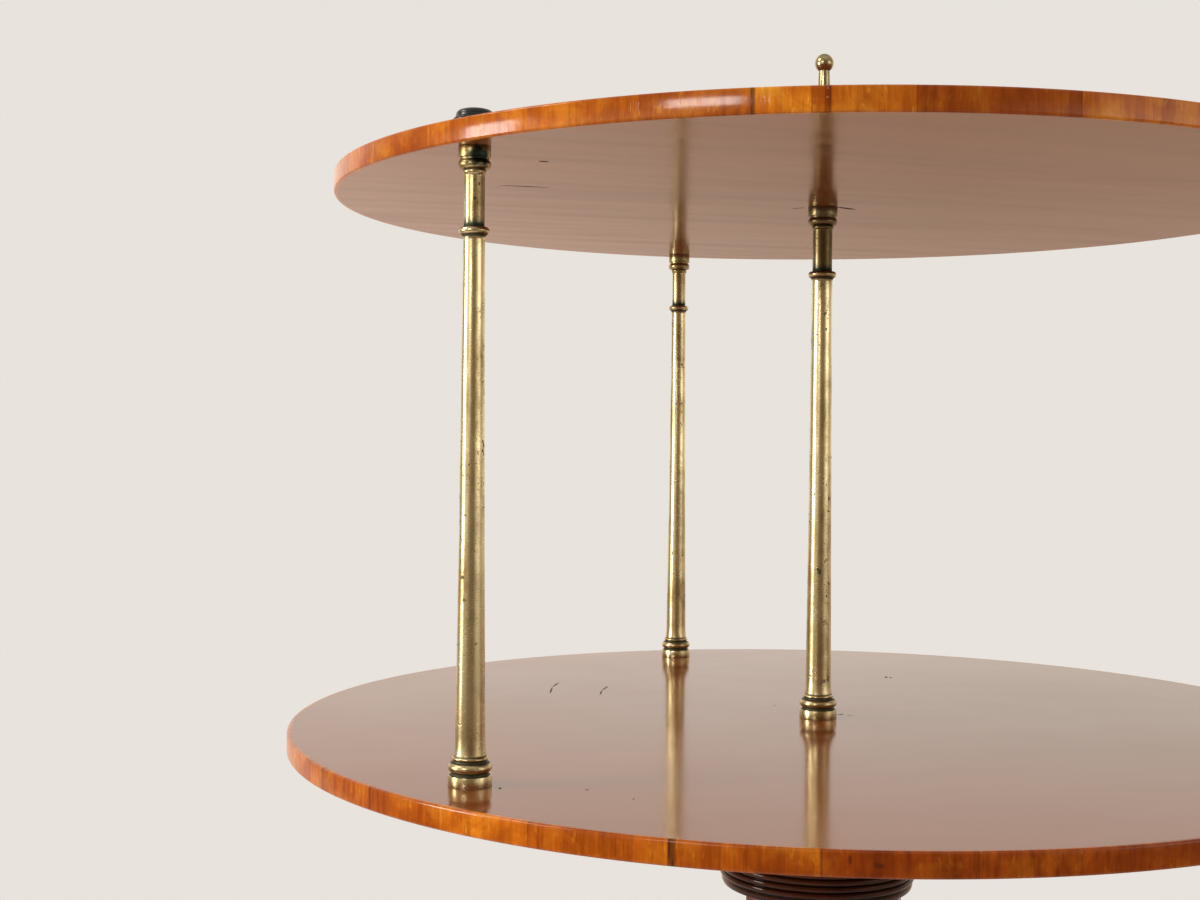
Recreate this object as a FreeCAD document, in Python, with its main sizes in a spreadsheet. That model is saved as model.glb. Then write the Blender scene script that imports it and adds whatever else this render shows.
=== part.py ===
import FreeCAD, Part
import math
import os

import Sketcher

# Two-tier dumbwaiter stand, in millimetres, +Z up, origin on the floor under its axis.
# Two round wooden tiers on brass columns turn as one stage on a pedestal with three
# downswept legs on castors. Station 1 is at the back, 2 front left and 3 front right.

FULL_TURN = 360.0
STATIONS = 3
FIRST_STATION_ANGLE = 90.0
TOE_ANGLE = 30.0
REED_COUNT = 5
BOSS_SCREW_COUNT = 6
PLATE_SCREW_ROWS = 2

LENGTHS = {
    # tiers and their lippings
    "upper_tier_radius": 281.6,
    "lower_tier_overhang": 23.4,
    "tier_thickness": 11.2,
    "band_thickness": 2.6,
    "band_arris": 1.2,
    "tier_gap": 298.0,
    "column_inset": 13.6,
    # fits and clearances
    "running_clearance": 0.05,
    "hole_clearance": 0.1,
    "joint_clearance": 0.15,
    "swivel_gap": 0.3,
    "bedding_depth": 0.3,
    "wheel_side_gap": 0.5,
    # turnings that all four columns share, heights along the axis
    "base_collar_height": 5.4,
    "base_groove_height": 1.4,
    "base_bead_height": 4.6,
    "base_quirk_height": 0.8,
    "base_ring_height": 2.0,
    "shaft_flare_height": 11.0,
    "top_collar_height": 5.3,
    "top_groove_height": 1.1,
    "top_bead_height": 4.0,
    "top_ring_height": 2.8,
    "neck_height": 24.2,
    "neck_bead_height": 3.6,
    "neck_fillet_height": 2.4,
    # outer column radii
    "outer_base_collar_radius": 10.3,
    "outer_base_groove_radius": 8.8,
    "outer_base_quirk_radius": 7.9,
    "outer_shaft_foot_radius": 7.6,
    "outer_shaft_low_radius": 7.0,
    "outer_shaft_mid_radius": 6.0,
    "outer_shaft_top_radius": 5.05,
    "outer_neck_fillet_radius": 5.8,
    "outer_neck_radius": 4.85,
    "outer_top_groove_radius": 6.8,
    "outer_top_collar_radius": 7.6,
    "outer_spigot_radius": 4.0,
    # centre column radii
    "centre_base_collar_radius": 10.7,
    "centre_base_groove_radius": 9.2,
    "centre_base_quirk_radius": 8.0,
    "centre_shaft_foot_radius": 7.9,
    "centre_shaft_low_radius": 7.3,
    "centre_shaft_mid_radius": 6.6,
    "centre_shaft_top_radius": 5.9,
    "centre_neck_fillet_radius": 6.7,
    "centre_neck_radius": 5.65,
    "centre_top_groove_radius": 7.5,
    "centre_top_collar_radius": 8.5,
    "centre_spigot_radius": 4.5,
    # fixings of the columns
    "washer_radius": 9.5,
    "washer_thickness": 1.2,
    "nut_half_width": 7.0,
    "nut_height": 5.5,
    "spigot_proud": 1.0,
    "cap_flange_radius": 9.4,
    "cap_flange_height": 1.9,
    "cap_dome_radius": 8.2,
    "cap_height": 7.7,
    "cap_spigot_depth": 4.6,
    # finial
    "finial_base_radius": 8.6,
    "finial_base_height": 3.2,
    "finial_bead_height": 3.0,
    "finial_waist_radius": 4.6,
    "finial_belly_radius": 6.2,
    "finial_belly_start": 10.5,
    "finial_belly_end": 34.0,
    "finial_stem_foot_radius": 4.6,
    "finial_stem_radius": 3.1,
    "finial_stem_end": 68.3,
    "finial_ball_radius": 5.4,
    "finial_spigot_depth": 9.0,
    # stage boss and pivot
    "boss_height": 57.0,
    "boss_foot_radius": 33.0,
    "boss_bead_height": 7.0,
    "boss_waist_radius": 29.0,
    "boss_waist_height": 20.0,
    "boss_flange_radius": 76.0,
    "boss_flange_height": 9.0,
    "boss_throat_radius": 66.0,
    "boss_sweep_radius": 52.0,
    "boss_screw_pitch_radius": 71.0,
    "centre_nut_radius": 9.0,
    "centre_nut_height": 7.0,
    "nut_recess_radius": 12.0,
    "nut_recess_depth": 12.0,
    "bush_wall": 3.0,
    "bush_height": 38.0,
    "spindle_radius": 8.0,
    "spindle_grip": 60.0,
    "spindle_reach": 34.0,
    "spindle_chamfer": 2.0,
    "thrust_washer_radius": 30.0,
    "thrust_washer_thickness": 1.5,
    "thrust_clearance": 0.1,
    # wood screws
    "screw_head_radius": 3.6,
    "screw_head_height": 2.6,
    "screw_shank_radius": 1.9,
    "screw_bite": 7.0,
    # reeded capital
    "reed_root_radius": 55.2,
    "capital_lip_height": 4.4,
    "capital_lip_foot_radius": 54.6,
    "reed_pitch": 3.75,
    "capital_crown_height": 2.65,
    "capital_top_radius": 47.0,
    # pedestal with three canted corners and hollow sides
    "pedestal_foot_height": 196.0,
    "pedestal_height": 310.0,
    "corner_distance": 48.0,
    "corner_half_width": 13.7,
    "hollow_side_radius": 72.0,
    # legs
    "leg_root_height": 94.0,
    "leg_sole_length": 34.0,
    "leg_top_sweep_radius": 427.0,
    "leg_under_sweep_radius": 390.0,
    "toe_reach": 256.0,
    "toe_height": 56.0,
    "toe_half_depth": 11.0,
    "toe_half_width": 10.0,
    "toe_length": 38.0,
    "leg_edge_round": 3.0,
    "dovetail_depth": 12.0,
    "dovetail_neck_half_width": 5.0,
    "dovetail_root_half_width": 7.5,
    "dovetail_height": 86.0,
    # iron plate under the pedestal
    "plate_thickness": 2.5,
    "plate_hub_radius": 24.0,
    "plate_arm_half_width": 8.0,
    "plate_arm_reach": 78.0,
    "plate_first_screw": 22.0,
    "plate_screw_spacing": 40.0,
    # castors
    "toe_cap_wall": 1.3,
    "toe_cap_length": 31.0,
    "toe_cap_end_wall": 2.6,
    "toe_cap_lip_length": 3.4,
    "toe_cap_lip_stand_out": 0.9,
    "horn_radius": 8.5,
    "horn_height": 19.0,
    "horn_dome_height": 3.0,
    "toe_pin_radius": 1.6,
    "toe_pin_setback": 17.0,
    "swivel_overhang": 8.0,
    "swivel_pin_radius": 3.5,
    "swivel_pin_length": 13.0,
    "swivel_bore_depth": 14.5,
    "fork_half_width": 8.6,
    "fork_crown_height": 4.2,
    "fork_crown_floor": 36.8,
    "fork_eye_radius": 5.6,
    "wheel_radius": 16.0,
    "wheel_half_width": 6.0,
    "wheel_rim_width": 3.6,
    "wheel_dish_depth": 1.6,
    "wheel_hub_radius": 5.6,
    "wheel_trail": 12.0,
    "axle_radius": 3.0,
    "axle_head_radius": 4.5,
    "axle_head_height": 1.3,
}

# how far each bead or reed stands out from its seat, as a share of its height
BASE_BEAD_SHARE = 0.33
BASE_RING_SHARE = 0.44
NECK_BEAD_SHARE = 0.4
TOP_RING_SHARE = 0.25
TOP_BEAD_SHARE = 0.23
FINIAL_BEAD_SHARE = 0.45
BOSS_BEAD_SHARE = 0.42
REED_SHARE = 0.33
# where a shaft's middle girth is, as a share of its length
SHAFT_MID_SHARE = 0.37
# radii of hollow sweeps, as shares of the height, length or width that each one spans
SHAFT_FLARE_SHARE = 6.0
NECK_FILLET_SHARE = 2.0
FINIAL_SWEEP_SHARE = 2.0
CAPITAL_LIP_SHARE = 1.5
CAPITAL_CROWN_SHARE = 1.5
# how far back of the swivel a fork's cheek starts, as a share of its half width
FORK_BACK_SHARE = 0.8
# the flat middle of a castor's tread, as a share of the wheel's width
TREAD_SHARE = 0.5
# the shortest edge that counts as running along a leg, as a share of its toe's half depth
LONG_EDGE_SHARE = 3.0

document = FreeCAD.newDocument("DumbwaiterStand")
sheet = document.addObject("Spreadsheet::Sheet", "Sizes")


class Size:
    """A length worked out from named sizes: its number, and the same sum as a sheet expression."""

    def __init__(self, number, text):
        self.number = number
        self.text = text

    def __add__(self, other):
        other = as_size(other)
        return Size(self.number + other.number, f"({self.text} + {other.text})")

    def __sub__(self, other):
        other = as_size(other)
        return Size(self.number - other.number, f"({self.text} - {other.text})")

    def __mul__(self, other):
        other = as_size(other)
        return Size(self.number * other.number, f"{self.text} * {other.text}")

    def __truediv__(self, other):
        other = as_size(other)
        return Size(self.number / other.number, f"{self.text} / ({other.text})")

    def root(self):
        return Size(math.sqrt(self.number), f"sqrt({self.text})")

    def __neg__(self):
        return Size(-self.number, f"(0 - {self.text})")


def as_size(value):
    if isinstance(value, Size):
        return value
    return Size(value, f"({value!r})")


class NamedSizes:
    """Writes every named size to the sheet and hands it out by its name."""

    def __init__(self, lengths):
        for row, (name, number) in enumerate(lengths.items(), start=1):
            sheet.set(f"A{row}", name)
            sheet.set(f"B{row}", str(number))
            sheet.setAlias(f"B{row}", name)
            setattr(self, name, Size(number, f"Sizes.{name}"))


mm = NamedSizes(LENGTHS)
document.recompute()


def station_angle(index):
    return FIRST_STATION_ANGLE + index * FULL_TURN / STATIONS


def polar(radius, degrees):
    """A point at this radius and angle, as a pair of sizes."""
    return radius * math.cos(math.radians(degrees)), radius * math.sin(math.radians(degrees))


def bead(seat_radius, top, height, share):
    """The end of a bead of this height on its seat, whose swell is a share of the height under a half."""
    return seat_radius, top, height * ((0.25 + share * share) / (2 * share)), "left"


# distances from the axis that several pieces share
lower_tier_radius = mm.upper_tier_radius + mm.lower_tier_overhang
column_pitch_radius = mm.upper_tier_radius - mm.column_inset
swivel_radius = mm.toe_reach + mm.swivel_overhang

# heights up the axis, from the floor
pedestal_top = mm.pedestal_foot_height + mm.pedestal_height
capital_height = mm.capital_lip_height + mm.reed_pitch * REED_COUNT + mm.capital_crown_height
capital_top = pedestal_top + capital_height
washer_top = capital_top + mm.thrust_washer_thickness
boss_foot = washer_top + mm.thrust_clearance
lower_tier_foot = boss_foot + mm.boss_height
lower_tier_top = lower_tier_foot + mm.tier_thickness
upper_tier_foot = lower_tier_top + mm.tier_gap
upper_tier_top = upper_tier_foot + mm.tier_thickness

subparts = []


def new_body(label):
    body = document.addObject("PartDesign::Body", label)
    body.Label = label
    subparts.append(body)
    return body


def place(body, base=(0, 0, 0), rotation=None):
    """Put a body at a point given in sizes, turned by a rotation."""
    if rotation:
        body.Placement = FreeCAD.Placement(FreeCAD.Vector(), rotation)
    for axis, value in zip("xyz", base):
        if isinstance(value, Size):
            body.setExpression(f"Placement.Base.{axis}", value.text)


def about_z(degrees):
    return FreeCAD.Rotation(FreeCAD.Vector(0, 0, 1), degrees)


def new_sketch(body, name, plane="XY_Plane", offset=None):
    """A sketch on one of the body's own origin planes, raised by an offset along its normal."""
    sketch = body.newObject("Sketcher::SketchObject", f"{body.Label}_{name}")
    planes = {feature.Role: feature for feature in body.Origin.OriginFeatures}
    sketch.AttachmentSupport = [(planes[plane], "")]
    sketch.MapMode = "FlatFace"
    if offset is not None:
        sketch.setExpression("AttachmentOffset.Base.z", offset.text)
    return sketch


def bind(sketch, kind, elements, size):
    """One driving dimension of a sketch, tied to the sheet."""
    index = sketch.addConstraint(Sketcher.Constraint(kind, *elements, size.number))
    sketch.setExpression(f"Constraints[{index}]", size.text)


def bind_point(sketch, geometry, position, point):
    bind(sketch, "DistanceX", (-1, 1, geometry, position), point[0])
    bind(sketch, "DistanceY", (-1, 1, geometry, position), point[1])


def arc_between(start, end, radius, left):
    """The short arc from start to end, which turns left or right on the way."""
    chord = end - start
    across = FreeCAD.Vector(-chord.y, chord.x, 0).normalize()
    rise = math.sqrt(max(radius**2 - chord.Length**2 / 4, 0.0))
    centre = (start + end) / 2 + across * (rise if left else -rise)
    first, last = (start, end) if left else (end, start)
    angles = [math.atan2(point.y - centre.y, point.x - centre.x) for point in (first, last)]
    circle = Part.Circle(centre, FreeCAD.Vector(0, 0, 1), radius)
    return Part.ArcOfCircle(circle, *angles)


def draw_outline(sketch, points):
    """Closes an outline of lines and arcs. A point is (x, y) after a straight run,
    or (x, y, radius, turn) after an arc that turns "left" or "right"."""
    points = [tuple(as_size(v) if not isinstance(v, str) else v for v in p) for p in points]
    vectors = [FreeCAD.Vector(p[0].number, p[1].number, 0) for p in points]
    ends = []
    for index, point in enumerate(points):
        start, end = vectors[index - 1], vectors[index]
        if len(point) == 2:
            geometry = sketch.addGeometry(Part.LineSegment(start, end), False)
            ends.append((geometry, 1, 2))
            continue
        left = point[3] == "left"
        geometry = sketch.addGeometry(arc_between(start, end, point[2].number, left), False)
        ends.append((geometry, 1, 2) if left else (geometry, 2, 1))
    for index, point in enumerate(points):
        geometry, _, finish = ends[index]
        following, begin, _ = ends[(index + 1) % len(points)]
        sketch.addConstraint(Sketcher.Constraint("Coincident", geometry, finish, following, begin))
        bind_point(sketch, geometry, finish, point)
        if len(point) > 2:
            bind(sketch, "Radius", (geometry,), point[2])


def draw_circle(sketch, centre, radius):
    centre = tuple(as_size(v) for v in centre)
    vector = FreeCAD.Vector(centre[0].number, centre[1].number, 0)
    circle = Part.Circle(vector, FreeCAD.Vector(0, 0, 1), radius.number)
    geometry = sketch.addGeometry(circle, False)
    bind_point(sketch, geometry, 3, centre)
    bind(sketch, "Radius", (geometry,), radius)


def revolve(body, name, points, axis_x=None):
    """Turns an outline about the body's upright axis, or about an upright line at axis_x."""
    sketch = new_sketch(body, f"{name}_outline", "XZ_Plane")
    draw_outline(sketch, points)
    feature = body.newObject("PartDesign::Revolution", f"{body.Label}_{name}")
    feature.Profile = sketch
    feature.ReferenceAxis = (sketch, ["V_Axis"])
    if axis_x is not None:
        low, high = points[0], points[-1]
        ends = [FreeCAD.Vector(axis_x.number, as_size(point[1]).number, 0) for point in (low, high)]
        line = sketch.addGeometry(Part.LineSegment(*ends), True)
        bind_point(sketch, line, 1, (axis_x, as_size(low[1])))
        bind_point(sketch, line, 2, (axis_x, as_size(high[1])))
        feature.ReferenceAxis = (sketch, ["Axis0"])
    feature.Angle = FULL_TURN
    return feature


def pad(body, name, sketch, length, both_sides=False):
    feature = body.newObject("PartDesign::Pad", f"{body.Label}_{name}")
    feature.Profile = sketch
    feature.SideType = "Symmetric" if both_sides else "One side"
    feature.setExpression("Length", length.text)
    return feature


def pocket(body, name, sketch, depth, both_sides=False, downwards=False):
    """Cuts upwards from the sketch, or downwards, or to both sides of it."""
    feature = body.newObject("PartDesign::Pocket", f"{body.Label}_{name}")
    feature.Profile = sketch
    feature.SideType = "Symmetric" if both_sides else "One side"
    feature.Reversed = not (both_sides or downwards)
    feature.setExpression("Length", depth.text)
    return feature


def repeat(body, name, originals, count):
    """Repeats features about the body's upright axis."""
    axis = next(f for f in body.Origin.OriginFeatures if f.Role == "Z_Axis")
    pattern = body.newObject("PartDesign::PolarPattern", f"{body.Label}_{name}")
    pattern.Originals = originals
    pattern.Axis = (axis, [""])
    pattern.Angle = FULL_TURN
    pattern.Occurrences = count
    body.Tip = pattern
    return pattern


def round_edges(body, name, radius, chosen):
    """Rounds the edges of the body's solid that the chosen test picks by their middle point."""
    document.recompute()
    tip = body.Tip
    names = []
    for index, edge in enumerate(tip.Shape.Edges, start=1):
        middle = edge.valueAt((edge.FirstParameter + edge.LastParameter) / 2)
        if chosen(edge, middle):
            names.append(f"Edge{index}")
    fillet = body.newObject("PartDesign::Fillet", f"{body.Label}_{name}")
    fillet.Base = (tip, names)
    fillet.setExpression("Radius", radius.text)
    return fillet


# tiers
boss_screw_length = mm.boss_flange_height + mm.screw_bite


def make_tier(label, foot, radius, centre_seat, outer_seat, screws):
    """A thin round board bored for the four columns, with shallow seats pressed in round the
    bores by what is screwed down on them, and pilot holes for the boss screws."""
    body = new_body(label)
    disc = new_sketch(body, "disc")
    draw_circle(disc, (0, 0), radius - mm.band_thickness)
    pad(body, "board", disc, mm.tier_thickness)
    seat_floor = mm.tier_thickness - mm.bedding_depth
    bore = new_sketch(body, "centre_bore")
    draw_circle(bore, (0, 0), mm.centre_spigot_radius + mm.hole_clearance)
    pocket(body, "centre_hole", bore, mm.tier_thickness)
    seat = new_sketch(body, "centre_seat", offset=seat_floor)
    draw_circle(seat, (0, 0), centre_seat + mm.hole_clearance)
    pocket(body, "centre_recess", seat, mm.bedding_depth)
    bore = new_sketch(body, "column_bore")
    draw_circle(bore, (0, column_pitch_radius), mm.outer_spigot_radius + mm.hole_clearance)
    hole = pocket(body, "column_hole", bore, mm.tier_thickness)
    seat = new_sketch(body, "column_seat", offset=seat_floor)
    draw_circle(seat, (0, column_pitch_radius), outer_seat + mm.hole_clearance)
    recess = pocket(body, "column_recess", seat, mm.bedding_depth)
    repeat(body, "column_holes", [hole, recess], STATIONS)
    if screws:
        pilot = new_sketch(body, "screw_pilot")
        draw_circle(pilot, (mm.boss_screw_pitch_radius, 0), mm.screw_shank_radius)
        hole = pocket(body, "pilot_hole", pilot, mm.screw_bite)
        repeat(body, "pilot_holes", [hole], BOSS_SCREW_COUNT)
    place(body, (0, 0, foot))


def make_edge_band(label, foot, radius):
    """Lipping round a tier, with its two outer arrises rounded off."""
    body = new_body(label)
    inner = radius - mm.band_thickness
    shoulder = radius - mm.band_arris
    revolve(body, "lipping", [
        (inner, 0),
        (shoulder, 0),
        (radius, mm.band_arris, mm.band_arris, "left"),
        (radius, mm.tier_thickness - mm.band_arris),
        (shoulder, mm.tier_thickness, mm.band_arris, "left"),
        (inner, mm.tier_thickness),
    ])
    place(body, (0, 0, foot))


# columns
def column_outline(radii, below, above):
    """Half outline of a column from its lower spigot to its upper one, height 0 on the lower tier."""
    spigot = radii["spigot"]
    outline = [(0, -below), (spigot, -below), (spigot, -mm.bedding_depth)]

    collar = mm.base_collar_height
    groove = collar + mm.base_groove_height
    bead_top = groove + mm.base_bead_height
    quirk = bead_top + mm.base_quirk_height
    ring = quirk + mm.base_ring_height
    flare = ring + mm.shaft_flare_height
    outline += [
        (radii["base_collar"], -mm.bedding_depth),
        (radii["base_collar"], collar),
        (radii["base_groove"], collar),
        (radii["base_groove"], groove),
        bead(radii["base_groove"], bead_top, mm.base_bead_height, BASE_BEAD_SHARE),
        (radii["base_quirk"], bead_top),
        (radii["base_quirk"], quirk),
        (radii["shaft_foot"], quirk),
        bead(radii["shaft_foot"], ring, mm.base_ring_height, BASE_RING_SHARE),
        (radii["shaft_low"], flare, mm.shaft_flare_height * SHAFT_FLARE_SHARE, "right"),
    ]

    top_groove = mm.tier_gap - mm.top_collar_height
    top_bead = top_groove - mm.top_groove_height
    top_ring = top_bead - mm.top_bead_height
    neck = top_ring - mm.top_ring_height
    neck_bead = neck - mm.neck_height
    fillet = neck_bead - mm.neck_bead_height
    shaft_top = fillet - mm.neck_fillet_height
    outline += [
        (radii["shaft_mid"], flare + (shaft_top - flare) * SHAFT_MID_SHARE),
        (radii["shaft_top"], shaft_top),
        (radii["neck_fillet"], fillet, mm.neck_fillet_height * NECK_FILLET_SHARE, "right"),
        bead(radii["neck_fillet"], neck_bead, mm.neck_bead_height, NECK_BEAD_SHARE),
        (radii["neck"], neck_bead),
        (radii["neck"], neck),
        bead(radii["neck"], top_ring, mm.top_ring_height, TOP_RING_SHARE),
        (radii["top_groove"], top_ring),
        bead(radii["top_groove"], top_bead, mm.top_bead_height, TOP_BEAD_SHARE),
        (radii["top_groove"], top_groove),
        (radii["top_collar"], top_groove),
        (radii["top_collar"], mm.tier_gap),
        (spigot, mm.tier_gap),
        (spigot, mm.tier_gap + above),
        (0, mm.tier_gap + above),
    ]
    return outline


def radii_of(kind):
    """The named radii of one kind of column, by their names without that kind."""
    prefix = f"{kind}_"
    return {
        name[len(prefix):-len("_radius")]: getattr(mm, name)
        for name in LENGTHS
        if name.startswith(prefix) and name.endswith("_radius")
    }


outer_spigot_below = mm.tier_thickness + mm.washer_thickness + mm.nut_height + mm.spigot_proud
outer_spigot_above = mm.tier_thickness + mm.cap_spigot_depth - mm.hole_clearance
centre_spigot_below = mm.tier_thickness + mm.centre_nut_height + mm.spigot_proud
centre_spigot_above = mm.tier_thickness + mm.finial_spigot_depth - mm.hole_clearance


def make_outer_columns():
    for index in range(STATIONS):
        body = new_body(f"outer_column_{index + 1}")
        revolve(body, "turning", column_outline(radii_of("outer"), outer_spigot_below, outer_spigot_above))
        x, y = polar(column_pitch_radius, station_angle(index))
        place(body, (x, y, lower_tier_top))


def make_centre_column():
    body = new_body("centre_column")
    revolve(body, "turning", column_outline(radii_of("centre"), centre_spigot_below, centre_spigot_above))
    place(body, (0, 0, lower_tier_top))


def make_column_caps():
    """Low domed cap nuts that screw down on the outer columns' upper spigots."""
    bore = mm.outer_spigot_radius + mm.running_clearance
    dome_height = mm.cap_height - mm.cap_flange_height
    dome = (mm.cap_dome_radius * mm.cap_dome_radius + dome_height * dome_height) / (dome_height * 2)
    for index in range(STATIONS):
        body = new_body(f"column_cap_{index + 1}")
        revolve(body, "dome", [
            (bore, -mm.bedding_depth),
            (mm.cap_flange_radius, -mm.bedding_depth),
            (mm.cap_flange_radius, mm.cap_flange_height),
            (mm.cap_dome_radius, mm.cap_flange_height),
            (0, mm.cap_height, dome, "left"),
            (0, mm.cap_spigot_depth),
            (bore, mm.cap_spigot_depth),
        ])
        x, y = polar(column_pitch_radius, station_angle(index))
        place(body, (x, y, upper_tier_top))


def make_column_fixings():
    """Washers and square nuts under the lower tier, one of each per outer column."""
    bore = mm.outer_spigot_radius + mm.hole_clearance
    washers = new_body("column_washers")
    ring = new_sketch(washers, "ring")
    draw_circle(ring, (0, column_pitch_radius), mm.washer_radius)
    draw_circle(ring, (0, column_pitch_radius), bore)
    repeat(washers, "set", [pad(washers, "washer", ring, mm.washer_thickness)], STATIONS)
    washer_foot = lower_tier_foot - mm.washer_thickness
    place(washers, (0, 0, washer_foot))

    nuts = new_body("column_nuts")
    square = new_sketch(nuts, "square")
    near = column_pitch_radius - mm.nut_half_width
    far = column_pitch_radius + mm.nut_half_width
    half = mm.nut_half_width
    draw_outline(square, [(-half, near), (half, near), (half, far), (-half, far)])
    draw_circle(square, (0, column_pitch_radius), bore)
    repeat(nuts, "set", [pad(nuts, "nut", square, mm.nut_height)], STATIONS)
    place(nuts, (0, 0, washer_foot - mm.nut_height))


def make_centre_nut():
    body = new_body("centre_nut")
    ring = new_sketch(body, "ring")
    draw_circle(ring, (0, 0), mm.centre_nut_radius)
    draw_circle(ring, (0, 0), mm.centre_spigot_radius + mm.running_clearance)
    pad(body, "nut", ring, mm.centre_nut_height)
    place(body, (0, 0, lower_tier_foot - mm.centre_nut_height))


def make_finial():
    """Ball on a slender stem that swells to a small baluster and screws on the centre column."""
    body = new_body("finial")
    bore = mm.centre_spigot_radius + mm.running_clearance
    bead_top = mm.finial_base_height + mm.finial_bead_height
    belly_length = mm.finial_belly_end - mm.finial_belly_start
    belly_rise = mm.finial_belly_radius - mm.finial_waist_radius
    ball, stem = mm.finial_ball_radius, mm.finial_stem_radius
    ball_centre = mm.finial_stem_end + (ball * ball - stem * stem).root()
    ball_top = ball_centre + mm.finial_ball_radius
    revolve(body, "turning", [
        (bore, -mm.bedding_depth),
        (mm.finial_base_radius, -mm.bedding_depth),
        (mm.finial_base_radius, mm.finial_base_height),
        (mm.finial_waist_radius, mm.finial_base_height),
        bead(mm.finial_waist_radius, bead_top, mm.finial_bead_height, FINIAL_BEAD_SHARE),
        (mm.finial_waist_radius, mm.finial_belly_start),
        (mm.finial_belly_radius, mm.finial_belly_start + belly_rise, belly_rise, "right"),
        (mm.finial_stem_foot_radius, mm.finial_belly_end, belly_length * FINIAL_SWEEP_SHARE, "left"),
        (mm.finial_stem_radius, mm.finial_stem_end),
        (mm.finial_ball_radius, ball_centre, mm.finial_ball_radius, "left"),
        (0, ball_top, mm.finial_ball_radius, "left"),
        (0, mm.finial_spigot_depth),
        (bore, mm.finial_spigot_depth),
    ])
    place(body, (0, 0, upper_tier_top))


# stage boss and pivot
bush_outer = mm.spindle_radius + mm.running_clearance + mm.bush_wall


def make_stage_boss():
    """Turned boss under the lower tier, hollowed for the bush below and the centre nut above."""
    body = new_body("stage_boss")
    flange_foot = mm.boss_height - mm.boss_flange_height
    recess_floor = mm.boss_height - mm.nut_recess_depth
    revolve(body, "turning", [
        (bush_outer, 0),
        (mm.boss_foot_radius, 0),
        bead(mm.boss_foot_radius, mm.boss_bead_height, mm.boss_bead_height, BOSS_BEAD_SHARE),
        (mm.boss_waist_radius, mm.boss_bead_height),
        (mm.boss_waist_radius, mm.boss_waist_height),
        (mm.boss_throat_radius, flange_foot, mm.boss_sweep_radius, "right"),
        (mm.boss_flange_radius, flange_foot),
        (mm.boss_flange_radius, mm.boss_height),
        (mm.nut_recess_radius, mm.boss_height),
        (mm.nut_recess_radius, recess_floor),
        (0, recess_floor),
        (0, mm.bush_height),
        (bush_outer, mm.bush_height),
    ])
    shank = new_sketch(body, "screw_shank", offset=flange_foot)
    draw_circle(shank, (mm.boss_screw_pitch_radius, 0), mm.screw_shank_radius + mm.hole_clearance)
    hole = pocket(body, "screw_hole", shank, mm.boss_flange_height)
    head = new_sketch(body, "screw_head", offset=flange_foot)
    draw_circle(head, (mm.boss_screw_pitch_radius, 0), mm.screw_head_radius + mm.hole_clearance)
    sink = pocket(body, "screw_sink", head, mm.screw_head_height)
    repeat(body, "screw_holes", [hole, sink], BOSS_SCREW_COUNT)
    place(body, (0, 0, boss_foot))


def make_screws(label, first_radius, count, shank_length, foot, turn=0.0, rows=1, spacing=None):
    """Cheese-head wood screws, heads down, set on circles about the axis."""
    body = new_body(label)
    originals = []
    for row in range(rows):
        radius = first_radius if row == 0 else first_radius + spacing * row
        head = new_sketch(body, f"head_{row + 1}")
        draw_circle(head, (radius, 0), mm.screw_head_radius)
        originals.append(pad(body, f"head_pad_{row + 1}", head, mm.screw_head_height))
        shank = new_sketch(body, f"shank_{row + 1}")
        draw_circle(shank, (radius, 0), mm.screw_shank_radius)
        originals.append(pad(body, f"shank_pad_{row + 1}", shank, shank_length))
    repeat(body, "set", originals, count)
    place(body, (0, 0, foot), about_z(turn))


def make_boss_bush():
    body = new_body("boss_bush")
    inner = mm.spindle_radius + mm.running_clearance
    revolve(body, "sleeve", [
        (inner, 0),
        (bush_outer, 0),
        (bush_outer, mm.bush_height),
        (inner, mm.bush_height),
    ])
    place(body, (0, 0, boss_foot))


def make_thrust_washer():
    body = new_body("thrust_washer")
    ring = new_sketch(body, "ring")
    draw_circle(ring, (0, 0), mm.thrust_washer_radius)
    draw_circle(ring, (0, 0), mm.spindle_radius + mm.hole_clearance)
    pad(body, "ring_pad", ring, mm.thrust_washer_thickness)
    place(body, (0, 0, capital_top))


def make_spindle():
    """Steel pivot, set in the pedestal and standing up into the boss's bush."""
    body = new_body("spindle")
    length = mm.spindle_grip + capital_height + mm.thrust_washer_thickness + mm.spindle_reach
    edge = mm.spindle_radius - mm.spindle_chamfer
    revolve(body, "rod", [
        (0, 0),
        (mm.spindle_radius, 0),
        (mm.spindle_radius, length - mm.spindle_chamfer),
        (edge, length),
        (0, length),
    ])
    place(body, (0, 0, pedestal_top - mm.spindle_grip))


def make_reeded_capital():
    """Turned disc with a plain lip below and reeds above, drawn in to a flat seat at the top."""
    body = new_body("reeded_capital")
    bore = mm.spindle_radius + mm.hole_clearance
    reed_root = mm.reed_root_radius
    outline = [
        (bore, 0),
        (mm.capital_lip_foot_radius, 0),
        (reed_root, mm.capital_lip_height, mm.capital_lip_height * CAPITAL_LIP_SHARE, "left"),
    ]
    height = mm.capital_lip_height
    for _ in range(REED_COUNT):
        height = height + mm.reed_pitch
        outline.append(bead(reed_root, height, mm.reed_pitch, REED_SHARE))
    crown_sweep = (reed_root - mm.capital_top_radius) * CAPITAL_CROWN_SHARE
    outline += [
        (mm.capital_top_radius, capital_height, crown_sweep, "right"),
        (bore, capital_height),
    ]
    revolve(body, "turning", outline)
    place(body, (0, 0, pedestal_top))


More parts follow.
